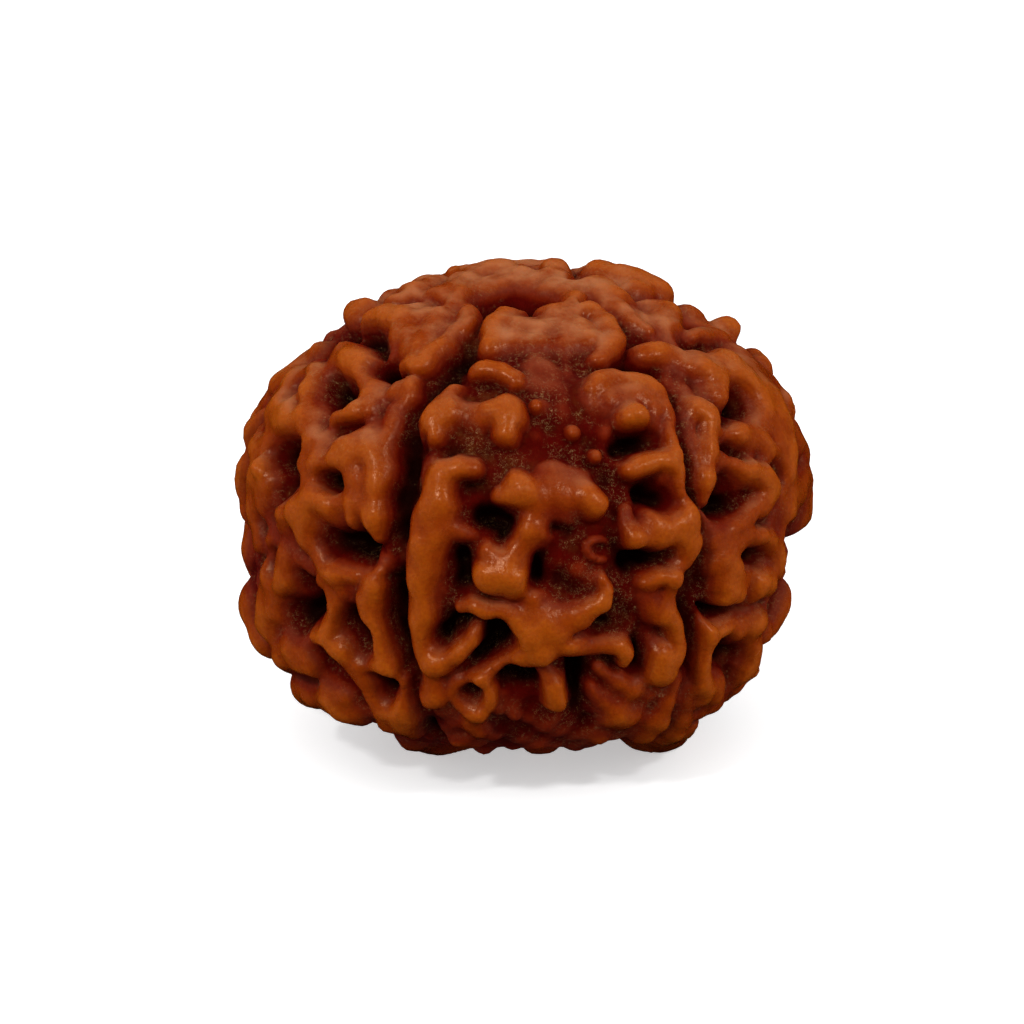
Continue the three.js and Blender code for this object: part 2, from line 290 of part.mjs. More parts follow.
const CROWN_RIDGES = {
  frontLeft: [[-14, 59, 3.4, 1.05], [-17, 66, 3.6, 1.1], [-17, 73, 3.4, 1.1], [-4, 76.5, 3, 1.1]],
  frontPlate: [[-6, 63, 6, 0.88], [8, 63, 6.5, 0.84], [22, 63, 7, 0.88], [34, 63.5, 6, 0.95]],
  frontTop: [[-4, 71, 5, 0.95], [14, 69, 5, 0.92], [30, 72, 4.4, 1.02], [46, 71, 3.6, 1.1]],
  frontBrim: [[24, 76.5, 3, 1.02], [52, 75, 3, 1.08]],
  frontRim: [[53, 69, 2.8, 1.15], [50.5, 63, 3, 1.2], [45, 58, 3.2, 1.2], [38, 55, 2.8, 1.05],
    [30, 53.5, 2.4, 0.9]],
  leftEdge: [[-50, 74, 2.6, 1.05], [-38, 69, 2.8, 1.1], [-34, 62, 2.8, 1.1], [-34, 56, 2.8, 1.1],
    [-36, 49.5, 2.6, 1.1], [-41, 49.5, 2.8, 1.05]],
  leftPlate: [[-43, 54, 5.5, 0.9], [-48, 60, 6.5, 0.92], [-58, 66, 6.5, 0.95]],
  leftShoulder: [[-60, 56, 5, 0.98], [-76, 59, 5.5, 1.02], [-94, 61, 5.5, 1.08]],
  left: [[-66, 73, 4.5, 1], [-96, 72, 5, 1.08], [-130, 71, 5, 1.1]],
  leftPeak: [[-127, 61, 5, 1.15], [-112, 63, 5, 1.12]],
  back: [[-150, 70, 5.4, 1.1], [-168, 69.5, 4.6, 1.32], [-176, 76, 4, 0.85]],
  backRight: [[157, 70, 4.2, 1.25], [144, 74, 4, 1.1]],
  right: [[134, 64, 4.5, 1.45], [122, 60, 4.5, 1.4], [114, 54, 4.5, 1.3]],
  rightPlate: [[110, 70, 5, 1.2], [92, 69, 5, 1.15], [78, 67, 4.5, 1.05]],
  rightRib: [[72, 64.5, 2.8, 1.05], [66, 60, 2.6, 1.05], [64, 56.5, 2.4, 1]],
  rightOuter: [[104, 60, 5, 1.15], [92, 56, 5, 1.15], [80, 54, 4.5, 1.1]],
  backOuter: [[-150, 57, 6, 1.1], [-170, 54, 6, 1.1], [168, 54, 6, 1.1], [148, 52, 6, 1.1]],
  backWall: [[-95, 77, 5, 1], [-130, 77.5, 6, 1.02], [-170, 78, 6, 1.02], [145, 78.5, 6, 1.05],
    [100, 78, 6, 1.05], [72, 77, 4.5, 1.05]],
};

const CROWN_MASSES = {
  front: [[-14, 64, 7, 0.8], [10, 66, 9, 0.8], [34, 64, 9, 0.8]],
  left: [[-50, 58, 8, 0.8], [-80, 62, 9, 0.8], [-110, 60, 10, 0.9]],
  back: [[-150, 64, 10, 0.9], [180, 66, 10, 0.88], [150, 64, 10, 0.9]],
  right: [[120, 60, 10, 0.9], [90, 60, 10, 0.85], [66, 56, 8, 0.7]],
  column: [[7, 50, 5, 0.6], [9, 42, 4.5, 0.5]],
};

const CROWN_PITS = {
  dimple: [[-54, 82, 4.4, 2.2], [-10, 84.2, 5, 2.3], [42, 83.5, 4.2, 2.1]],
  dimpleTail: [[-40, 79, 2.4, 0.6], [-31, 72, 2, 0.45]],
  brimNotch: [[4, 75.5, 1.8, 0.25]],
  backNotch: [[176, 67.5, 2, 0.8], [170, 73, 1.8, 0.35]],
  rightNotch: [[146, 66, 1.8, 0.4]],
  ribHollow: [[56, 60, 2.2, 0.4], [56, 55, 2.2, 0.6]],
  throat: [[-10, 84.4, 3.6, 3]],
};

// The grooves that part the faces, as [longitude, latitude, half width, depth below the floor]
const FRONT_GROOVES = {
  left: [[-27, 66, 2, 0.3], [-25, 60, 3, 0.54], [-24.5, 52, 3.6, 0.6], [-26.5, 46, 2.4, 0.54],
    [-28.7, 40, 2.2, 0.54],
    [-28.7, 34, 2.8, 0.57], [-27, 27, 3.2, 0.57], [-26.6, 20, 3, 0.6], [-26, 13, 2.4, 0.51],
    [-25.2, 7.5, 1.6, 0.3],
    [-25.3, 2, 2.6, 0.57], [-25.8, -4, 2.6, 0.6], [-25.8, -9, 2.8, 0.57], [-24, -14, 2.6, 0.48],
    [-22, -18, 1.4, 0.24], [-23, -23, 1.7, 0.36], [-22, -30, 2.2, 0.48], [-20, -38, 2.6, 0.48]],
  right: [[46, 46, 1.8, 0.18], [46.5, 41, 1.6, 0.24], [44, 36, 1.7, 0.48], [41.8, 31, 2.2, 0.54],
    [40.2, 25, 2, 0.57], [39, 19.5, 1.9, 0.54], [39.8, 15, 1.2, 0.3], [39.8, 10, 1, 0.24],
    [39.2, 6, 1.6, 0.42],
    [36, 1, 2.4, 0.6], [35.4, -4, 2.4, 0.6], [36.2, -9, 2, 0.51], [36.8, -14, 2, 0.48], [36, -20, 1.8, 0.45],
    [35.6, -26, 1.5, 0.33], [35, -34, 1.8, 0.36]],
};
const HIDDEN_GROOVES = [100, 160, -140, -88];
const HIDDEN_GROOVE = { halfWidth: 2.5, depth: 0.9, sway: 1.6, top: 62, bottom: -62, step: 7 };
const GROOVE_SHARES = [0.75, 1.15]; // least and greatest half width and depth, to the rule's

// The knobs that the seed stands on, and the ring of ribs and the lower mouth underneath
const FEET = {
  left: [[-40, -52, 5, 0.95], [-46, -60, 7.5, 1.35], [-50, -67, 9.3, 2]],
  right: [[50, -42, 5.5, 1.1], [59, -50, 8, 1.55], [66, -56.5, 10.3, 2.2]],
  back: [[176, -50, 8, 1.2], [176, -58, 11, 1.6], [176, -66, 13, 2]],
  front: [[12, -69, 9, 1.35]], // stops just short of the ground
  leftMound: [[-50, -66, 14, 0.9]],
  rightMound: [[66, -55.5, 15, 1.1]],
  backMound: [[-176, -60, 19, 1.15]],
};
const RIBS = { count: 12, inner: -76, outer: -50, halfWidth: 3.6, height: 0.66, sway: 5 };
const RIB_SHARES = [0.7, 1.2]; // least and greatest half width of a rib, to the rule's
const BASE_PITS = {
  mouth: [[0, -90, 8.5, 1.2]],
  throat: [[0, -90, 4.2, 2.6]],
};

// How the faces that a viewer can't see are grown from the seen ones: middle of the new face, the face
// that it follows, its middle, +1 or -1 for the way round, the stretch across, the
// stretch upright and how far it reaches to each side
const HIDDEN_FACES = [
  { middle: 130, from: 'front', source: 7, turn: -1, stretch: 0.88, flip: 1, reach: 34 },
  { middle: 190, from: 'left', source: -56, turn: -1, stretch: 1.02, flip: 1, reach: 34 },
  { middle: -122, from: 'front', source: 7, turn: 1, stretch: 0.8, flip: -0.92, reach: 27 },
  { middle: 92, from: 'left', source: -72, turn: 1, stretch: 0.9, flip: -0.9, reach: 14 },
];
const HIDDEN_TOP = 46; // the faces stop below the crown, which has its own ridges
const HIDDEN_WANDER = 1.4; // degrees that a copied ridge strays
const HIDDEN_SHARES = [0.9, 1.15]; // least and greatest half width of a copied ridge, to its own
const SEED = 108;

const RAD = Math.PI / 180;

/** Unit vector at a longitude and latitude in degrees. */
function direction(lon, lat) {
  const level = Math.cos(lat * RAD);
  return [Math.sin(lon * RAD) * level, -Math.cos(lon * RAD) * level, Math.sin(lat * RAD)];
}

/** Repeatable random numbers from 0 to 1. */
function randomSource(seed) {
  let state = seed;
  return () => {
    state = (Math.imul(state, 1664525) + 1013904223) >>> 0;
    return state / 4294967296;
  };
}

/** Random number between minus a size and plus it. */
const around = (size, random) => (random() * 2 - 1) * size;

/** Random number between a least and a greatest. */
const within = ([least, greatest], random) => least + (greatest - least) * random();

/** Distance from the middle to the smooth outline that the ridge tops touch. */
function envelope(d) {
  const power = d[2] > 0 ? SHOULDER_POWER : HAUNCH_POWER;
  const across = Math.hypot(d[0], d[1]) / (WIDTH / 2);
  const up = Math.abs(d[2]) / (HEIGHT / 2);
  let radius = (across ** power + up ** power) ** (-1 / power);
  for (const [lon, lat, spread, share] of SWELLS) {
    const c = direction(lon, lat);
    const cosine = Math.min(1, d[0] * c[0] + d[1] * c[1] + d[2] * c[2]);
    const angle = Math.acos(cosine) / RAD;
    radius *= 1 + share * Math.exp(-((angle / spread) ** 2));
  }
  return radius;
}

/** Makes a path ready for measuring: its points as unit vectors and a cap that holds all of it. */
function makeStroke(path, spread) {
  const points = path.map(([lon, lat]) => direction(lon, lat));
  const middle = [0, 1, 2].map((k) => points.reduce((sum, p) => sum + p[k], 0));
  const length = Math.hypot(...middle);
  const centre = middle.map((v) => v / length);
  let reach = 0;
  path.forEach(([, , half], i) => {
    const gap = Math.hypot(...points[i].map((v, k) => v - centre[k]));
    reach = Math.max(reach, gap + half * RAD * spread);
  });
  return { path, points, centre, reach, spread };
}

/** Height of one stroke at a direction: a rounded top, steep sides, nothing past its half width. */
function strokeHeight(stroke, d, profile) {
  const { path, points, centre, reach, spread } = stroke;
  const off = Math.hypot(d[0] - centre[0], d[1] - centre[1], d[2] - centre[2]);
  if (off > reach) {
    return 0;
  }
  let height = 0;
  for (let i = 0; i < Math.max(1, points.length - 1); i += 1) {
    const j = Math.min(i + 1, points.length - 1);
    const a = points[i];
    const b = points[j];
    const ab = [b[0] - a[0], b[1] - a[1], b[2] - a[2]];
    const along = (d[0] - a[0]) * ab[0] + (d[1] - a[1]) * ab[1] + (d[2] - a[2]) * ab[2];
    const size = ab[0] ** 2 + ab[1] ** 2 + ab[2] ** 2;
    const t = size > 0 ? Math.min(1, Math.max(0, along / size)) : 0;
    const gap = Math.hypot(d[0] - a[0] - t * ab[0], d[1] - a[1] - t * ab[1], d[2] - a[2] - t * ab[2]);
    const half = (path[i][2] + t * (path[j][2] - path[i][2])) * RAD * spread;
    if (gap < half) {
      const top = path[i][3] + t * (path[j][3] - path[i][3]);
      height = Math.max(height, top * profile(gap / half));
    }
  }
  return height;
}

const ridgeProfile = (s) => (1 - s ** 3) ** 1.5;
const pitProfile = (s) => (1 - s) ** 2 * (1 + s);

/** Strokes of one kind, sorted into the cells of a coarse grid when a cell is first asked for. */
class StrokeSet {
  constructor(strokes) {
    this.strokes = strokes;
    this.cells = new Map();
  }

  near(d) {
    const [x, y, z] = d.map((v) => Math.round(v / CELL));
    const key = (x * CELL_ROWS + y) * CELL_ROWS + z;
    let found = this.cells.get(key);
    if (!found) {
      const middle = [x * CELL, y * CELL, z * CELL];
      found = this.strokes.filter(({ centre, reach }) => {
        const gap = Math.hypot(middle[0] - centre[0], middle[1] - centre[1], middle[2] - centre[2]);
        return gap < reach + CELL;
      });
      this.cells.set(key, found);
    }
    return found;
  }
}

/** Runs many strokes into one smooth height. */
function unionHeight(strokes, d, profile) {
  let sum = 0;
  for (const stroke of strokes.near(d)) {
    const height = strokeHeight(stroke, d, profile);
    if (height > 0) {
      sum += height ** UNION_POWER;
    }
  }
  return sum ** (1 / UNION_POWER);
}

/**
 * Bends the pattern a little, so that no ridge runs straight. Here and in the two rules below, the whole
 * numbers are waves along each axis, to the radian, and the fractions are where each wave starts.
 */
function wander(d) {
  const bent = [
    d[0] + WANDER * Math.sin(31 * d[1] + 23 * d[2] + 0.7) * Math.sin(27 * d[0] + 1.9),
    d[1] + WANDER * Math.sin(29 * d[2] + 25 * d[0] + 2.3) * Math.sin(24 * d[1] + 0.4),
    d[2] + WANDER * Math.sin(33 * d[0] + 21 * d[1] + 4.1) * Math.sin(28 * d[2] + 3.2),
  ];
  const length = Math.hypot(...bent);
  return bent.map((v) => v / length);
}

/** Low uneven swell of the ridges and the floor. */
function unevenness(d) {
  return 0.08 * Math.sin(19 * d[0] + 11 * d[1] + 1.3) * Math.sin(17 * d[1] - 13 * d[2] + 0.6)
    + 0.06 * Math.sin(43 * d[2] + 29 * d[0]) * Math.sin(37 * d[1] - 31 * d[0] + 2.2);
}

/** Lumps of the floor between the ridges. */
function floorLumps(d) {
  return 0.16 * Math.sin(26 * d[0] + 15 * d[2]) * Math.sin(24 * d[1] - 17 * d[2] + 1.1)
    + 0.1 * Math.sin(47 * d[2] - 21 * d[0] + 0.4) * Math.sin(41 * d[0] + 35 * d[1] + 2.7);
}

/** Copies a seen face's strokes onto a hidden one, each strayed a little. */
function carryFace(face, strokes, random) {
  const carried = [];
  for (const path of Object.values(strokes)) {
    const strayLon = around(HIDDEN_WANDER, random);
    const strayLat = around(HIDDEN_WANDER, random);
    const share = within(HIDDEN_SHARES, random);
    const moved = path.map(([lon, lat, half, height]) => [
      face.middle + (lon - face.source) * face.turn * face.stretch + strayLon,
      lat * face.flip + strayLat,
      half * share,
      height,
    ]);
    const inside = moved.every(([lon, lat]) => Math.abs(lon - face.middle) < face.reach && lat < HIDDEN_TOP);
    if (inside) {
      carried.push(moved);
    }
  }
  return carried;
}

/** A face's groove where no viewer sees it: down a meridian, swaying. */
function hiddenGroove(lon, random) {
  const { halfWidth, depth, sway, top, bottom, step } = HIDDEN_GROOVE;
  const path = [];
  for (let lat = top; lat >= bottom; lat -= step) {
    const side = lon + around(sway, random);
    const half = halfWidth * within(GROOVE_SHARES, random);
    path.push([side, lat, half, depth * within(GROOVE_SHARES, random)]);
  }
  return path;
}

/** Ribs that run in under the seed towards the lower mouth. */
function baseRibs(random) {
  const paths = [];
  for (let i = 0; i < RIBS.count; i += 1) {
    const lon = (i + 0.5) * (360 / RIBS.count) + around(RIBS.sway, random);
    const bend = around(RIBS.sway, random);
    const middle = (RIBS.inner + RIBS.outer) / 2 + around(RIBS.sway, random);
    paths.push([
      [lon, RIBS.outer, RIBS.halfWidth * within(RIB_SHARES, random), RIBS.height],
      [lon + bend, middle, RIBS.halfWidth * within(RIB_SHARES, random), RIBS.height],
      [lon, RIBS.inner, RIBS.halfWidth * within(RIB_SHARES, random), RIBS.height],
    ]);
  }
  return paths;
}

/** Collects every stroke of the seed, the seen faces first. */
function growSeed() {
  const random = randomSource(SEED);
  const ridges = [FRONT_RIDGES, LEFT_RIDGES, RIGHT_RIDGES, CROWN_RIDGES].flatMap(Object.values);
  const masses = [FRONT_MASSES, LEFT_MASSES, RIGHT_MASSES, CROWN_MASSES].flatMap(Object.values);
  const pits = [FRONT_PITS, LEFT_PITS, RIGHT_PITS, CROWN_PITS, BASE_PITS].flatMap(Object.values);
  const grooves = Object.values(FRONT_GROOVES);
  for (const face of HIDDEN_FACES) {
    ridges.push(...carryFace(face, face.from === 'front' ? FRONT_RIDGES : LEFT_RIDGES, random));
    masses.push(...carryFace(face, face.from === 'front' ? FRONT_MASSES : LEFT_MASSES, random));
    pits.push(...carryFace(face, face.from === 'front' ? FRONT_PITS : LEFT_PITS, random));
  }
  for (const lon of HIDDEN_GROOVES) {
    grooves.push(hiddenGroove(lon, random));
  }
  ridges.push(...baseRibs(random));
  return {
    ridges: new StrokeSet(ridges.map((path) => makeStroke(path, RIDGE_SPREAD))),
    masses: new StrokeSet(masses.map((path) => makeStroke(path, RIDGE_SPREAD))),
    pits: new StrokeSet(pits.map((path) => makeStroke(path, PIT_SPREAD))),
    grooves: new StrokeSet(grooves.map((path) => makeStroke(path, GROOVE_SPREAD))),
    feet: new StrokeSet(Object.values(FEET).map((path) => makeStroke(path, 1))),
  };
}

const seed = growSeed();

/** Point of the seed's skin in a direction from its middle, never below the surface it rests on. */
function skinPoint(d) {
  const bent = wander(d);
  const ridge = unionHeight(seed.ridges, bent, ridgeProfile);
  const broad = unionHeight(seed.masses, bent, ridgeProfile);
  const mass = (FLOOR_RISE ** 3 + broad ** 3) ** (1 / 3) + floorLumps(d);
  const foot = unionHeight(seed.feet, bent, ridgeProfile);
  const pit = unionHeight(seed.pits, bent, pitProfile);
  const groove = unionHeight(seed.grooves, bent, pitProfile);
  const standing = [ridge, Math.max(0, mass), foot].reduce((sum, height) => sum + height ** UNION_POWER, 0);
  const rise = standing ** (1 / UNION_POWER) + unevenness(d) - Math.max(pit, groove);
  const radius = envelope(d) - RELIEF + rise;
  const z = BELLY_HEIGHT + radius * d[2];
  if (z < 0) {
    const flat = -BELLY_HEIGHT / d[2];
    return [flat * d[0], flat * d[1], 0];
  }
  return [radius * d[0], radius * d[1], z];
}

/** Even start mesh on the unit sphere: directions and corner triples. */
function startMesh(detail) {
  const ball = new THREE.IcosahedronGeometry(1, detail);
  ball.deleteAttribute('normal');
  ball.deleteAttribute('uv');
  const merged = mergeVertices(ball, 1e-5);
  const place = merged.getAttribute('position');
  const directions = [];
  for (let i = 0; i < place.count; i += 1) {
    const v = [place.getX(i), place.getY(i), place.getZ(i)];
    const length = Math.hypot(...v);
    directions.push(v.map((x) => x / length));
  }
  const corners = [];
  for (let i = 0; i < merged.index.count; i += 3) {
    corners.push([merged.index.getX(i), merged.index.getX(i + 1), merged.index.getX(i + 2)]);
  }
  return { directions, corners };
}

/** Triangle mesh of the skin that is refined where it strays from the true shape. */
class SkinMesh {
  constructor(detail) {
    const { directions, corners } = startMesh(detail);
    this.directions = directions;
    this.points = directions.map(skinPoint);
    this.corners = corners;
    this.sides = new Map(); // edge key to the triangles on its two sides
    this.middles = new Map(); // edge key to the true point over its middle
    this.errors = [];
    corners.forEach((_, t) => this.link(t));
  }

  key(a, b) {
    return a < b ? a * KEY_STEP + b : b * KEY_STEP + a;
  }

  link(t) {
    const [a, b, c] = this.corners[t];
    for (const [i, j] of [[a, b], [b, c], [c, a]]) {
      const key = this.key(i, j);
      const pair = this.sides.get(key) ?? [];
      pair.push(t);
      this.sides.set(key, pair);
    }
    this.errors[t] = this.error(t);
  }

  unlink(t) {
    const [a, b, c] = this.corners[t];
    for (const [i, j] of [[a, b], [b, c], [c, a]]) {
      const key = this.key(i, j);
      this.sides.set(key, this.sides.get(key).filter((other) => other !== t));
    }
  }

  middle(a, b) {
    const key = this.key(a, b);
    let point = this.middles.get(key);
    if (!point) {
      point = skinPoint(between(this.directions[a], this.directions[b]));
      this.middles.set(key, point);
    }
    return point;
  }

  /** Length of an edge on the unit ball, where every split leaves shorter edges. */
  length(a, b) {
    return distance(this.directions[a], this.directions[b]);
  }

  /** How far the true skin stands off a triangle, over its edges' middles and its own. */
  error(t) {
    const [a, b, c] = this.corners[t];
    const normal = faceNormal(this.points[a], this.points[b], this.points[c]);
    const half = between(this.directions[a], this.directions[b]);
    const centre = skinPoint(between(half, this.directions[c], 2));
    const samples = [this.middle(a, b), this.middle(b, c), this.middle(c, a), centre];
    return Math.max(...samples.map((p) => Math.abs(dot(minus(p, this.points[a]), normal))));
  }

  longestEdge(t) {
    const [a, b, c] = this.corners[t];
    const edges = [[a, b, c], [b, c, a], [c, a, b]];
    edges.sort((p, q) => this.length(q[0], q[1]) - this.length(p[0], p[1]));
    return edges[0];
  }

  /** Splits a triangle at its longest edge, and its neighbour there, which comes first if it is longer. */
  split(t, depth = 0) {
    const [a, b, c] = this.longestEdge(t);
    if (this.length(a, b) < EDGE_MIN) {
      return;
    }
    const other = this.sides.get(this.key(a, b)).find((s) => s !== t);
    const [p, q] = this.longestEdge(other);
    if (this.key(p, q) !== this.key(a, b) && depth < SPLIT_DEPTH) {
      this.split(other, depth + 1);
      if (!this.corners[t].includes(a) || !this.corners[t].includes(b)) {
        return;
      }
      this.split(t, depth + 1);
      return;
    }
    const d = this.corners[other].find((v) => v !== a && v !== b);
    const m = this.points.length;
    this.directions.push(between(this.directions[a], this.directions[b]));
    this.points.push(this.middle(a, b));
    this.unlink(t);
    this.unlink(other);
    const fresh = this.corners.length;
    this.corners[t] = [a, m, c];
    this.corners[other] = [b, m, d];
    this.corners.push([m, b, c], [m, a, d]);
    [t, other, fresh, fresh + 1].forEach((s) => this.link(s));
  }

  /** Refines the worst triangles, a share of them at a time, up to a number of triangles. */
  refine(limit) {
    while (this.corners.length < limit) {
      const order = this.corners.map((_, t) => t).sort((p, q) => this.errors[q] - this.errors[p]);
      const wanted = (limit - this.corners.length) / SPLIT_YIELD;
      const share = Math.ceil(Math.min(order.length * SPLIT_SHARE, wanted));
      const before = this.corners.length;
      for (const t of order.slice(0, share)) {
        if (this.corners.length < limit) {
          this.split(t);
        }
      }
      if (this.corners.length === before) {
        return;
      }
    }
  }

  /** Turns edges across their two triangles where the other way lies closer to the skin. */
  turnEdges() {
    for (let t = 0; t < this.corners.length; t += 1) {
      const [p, q, r] = this.corners[t];
      [[p, q, r], [q, r, p], [r, p, q]].some(([a, b, c]) => this.turnEdge(t, a, b, c));
    }
  }

  /** Turns the edge from a to b of a triangle, if that helps, and tells whether it did. */
  turnEdge(t, a, b, c) {
    const pair = this.sides.get(this.key(a, b));
    const other = pair.find((s) => s !== t);
    const d = this.corners[other].find((v) => v !== a && v !== b);
    if ((this.sides.get(this.key(c, d)) ?? []).length > 0) {
      return false;
    }
    const [A, B, C, D] = [a, b, c, d].map((v) => this.directions[v]);
    if (turnsLeft(A, D, C) < CORNER_MIN || turnsLeft(D, B, C) < CORNER_MIN) {
      return false;
    }
    const now = distance(this.middle(a, b), midpoint(this.points[a], this.points[b]));
    const then = distance(this.middle(c, d), midpoint(this.points[c], this.points[d]));
    if (then > now - TURN_GAIN) {
      return false;
    }
    this.unlink(t);
    this.unlink(other);
    this.corners[t] = [a, d, c];
    this.corners[other] = [d, b, c];
    this.link(t);
    this.link(other);
    return true;
  }
}

const dot = (a, b) => a[0] * b[0] + a[1] * b[1] + a[2] * b[2];
const minus = (a, b) => [a[0] - b[0], a[1] - b[1], a[2] - b[2]];
const distance = (a, b) => Math.hypot(a[0] - b[0], a[1] - b[1], a[2] - b[2]);
const midpoint = (a, b) => [(a[0] + b[0]) / 2, (a[1] + b[1]) / 2, (a[2] + b[2]) / 2];
const cross = (a, b) => [a[1] * b[2] - a[2] * b[1], a[2] * b[0] - a[0] * b[2], a[0] * b[1] - a[1] * b[0]];

/** Unit vector between two, the first counted a number of times. */
function between(a, b, weight = 1) {
  const sum = [0, 1, 2].map((k) => a[k] * weight + b[k]);
  const length = Math.hypot(...sum);
  return sum.map((v) => v / length);
}

/** Unit normal of a triangle. */
function faceNormal(a, b, c) {
  const n = cross(minus(b, a), minus(c, a));
  const length = Math.hypot(...n) || 1;
  return n.map((v) => v / length);
}

/** Twice the area of a direction triangle over its longest side squared, below 0 if turned over. */
function turnsLeft(a, b, c) {
  const side = Math.max(distance(a, b), distance(b, c), distance(c, a));
  return dot(cross(minus(b, a), minus(c, a)), a) / (side * side);
}

/** Skin of the seed as one closed shape. */
function makeSkin() {
  const mesh = new SkinMesh(START_DETAIL);
  const first = mesh.corners.length;
  for (let round = 0; round <= ROUNDS; round += 1) {
    mesh.refine(first + (TRIANGLES - first) * (round / ROUNDS));
    for (let sweep = 0; sweep < TURN_SWEEPS; sweep += 1) {
      mesh.turnEdges();
    }
  }
  const geometry = new THREE.BufferGeometry();
  geometry.setAttribute('position', new THREE.Float32BufferAttribute(mesh.points.flat(), 3));
  geometry.setIndex(mesh.corners.flat());
  return geometry;
}

/** The whole seed, its box centred over the origin and its feet on the ground. */
function makeSeed() {
  const geometry = makeSkin();
  geometry.computeBoundingBox();
  const { min, max } = geometry.boundingBox;
  geometry.translate(-(min.x + max.x) / 2, -(min.y + max.y) / 2, -min.z);
  geometry.computeVertexNormals();
  const material = new THREE.MeshStandardMaterial({ color: COLOUR, roughness: ROUGHNESS, metalness: 0 });
  const mesh = new THREE.Mesh(geometry, material);
  mesh.name = 'rudraksha_seed';
  return mesh;
}

const part = new THREE.Group();
part.name = 'rudraksha_seed';
part.add(makeSeed());

export default part;
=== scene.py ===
"""Rudraksha seed: the knobbly stone of the fruit, dressed for a close studio picture.

The seed's skin is grown from named ridges, knobs, hollows and grooves on a squat, slightly
square ball. The seen faces are given stroke by stroke, and the hidden ones are carried over
from them by rule. Lengths in the growth rules are millimetres and angles are degrees; the
finished meshes are in metres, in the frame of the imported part.
"""

import logging
import math
from collections.abc import Callable
from dataclasses import dataclass, field
from enum import Enum

import bmesh
import bpy
import numpy as np
from mathutils import Matrix, Vector


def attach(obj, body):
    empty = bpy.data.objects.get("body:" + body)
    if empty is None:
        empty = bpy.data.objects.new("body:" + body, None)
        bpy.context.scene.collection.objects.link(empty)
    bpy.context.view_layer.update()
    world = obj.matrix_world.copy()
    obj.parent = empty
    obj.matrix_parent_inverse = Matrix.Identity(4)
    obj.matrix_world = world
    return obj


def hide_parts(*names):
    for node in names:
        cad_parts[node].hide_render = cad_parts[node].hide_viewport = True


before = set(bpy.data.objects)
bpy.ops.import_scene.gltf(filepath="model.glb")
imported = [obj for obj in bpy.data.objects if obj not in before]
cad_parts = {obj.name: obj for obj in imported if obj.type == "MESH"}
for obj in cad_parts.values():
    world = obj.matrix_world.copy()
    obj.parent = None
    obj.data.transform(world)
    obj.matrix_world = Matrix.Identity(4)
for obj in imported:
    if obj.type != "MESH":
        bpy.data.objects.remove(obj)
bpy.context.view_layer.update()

LOG = logging.getLogger("rudraksha")
Path = list[list[float]]
Paths = dict[str, Path]
Colour = tuple[float, float, float]
Place = tuple[float, float, float]

MM = 0.001
IMAGE = 1024  # side of the picture in pixels
SENSOR = 36.0  # width of the camera's sensor in mm
NODE = "rudraksha_seed"
BODY = "root"
AXIS = (-0.0765, 0.075)  # where the seed's middle stands in the part's frame, in mm

# Driving sizes of the seed, in millimetres
WIDTH = 22.0
HEIGHT = 18.0
BELLY_HEIGHT = 9.1  # height of the widest level over the ground
SHOULDER_POWER = 2.32  # how square the outline is over the widest level; 2 is an ellipse
HAUNCH_POWER = 3.2  # the same under the widest level
RELIEF = 1.2  # depth under the smooth outline that the relief is measured from

# Slow swells and hollows of the outline: longitude, latitude, spread in degrees, share of
# the radius
SWELLS: Path = [
    [100, 22, 24, 0.03], [78, -36, 16, -0.055], [90, 5, 12, 0.02], [-102, 48, 16, 0.02],
    [-80, -18, 13, 0.025], [5, -50, 22, -0.03], [-100, 34, 9, -0.05], [106, 43, 8, -0.035],
    [-122, 46, 24, -0.02], [140, 55, 18, 0.01],
]

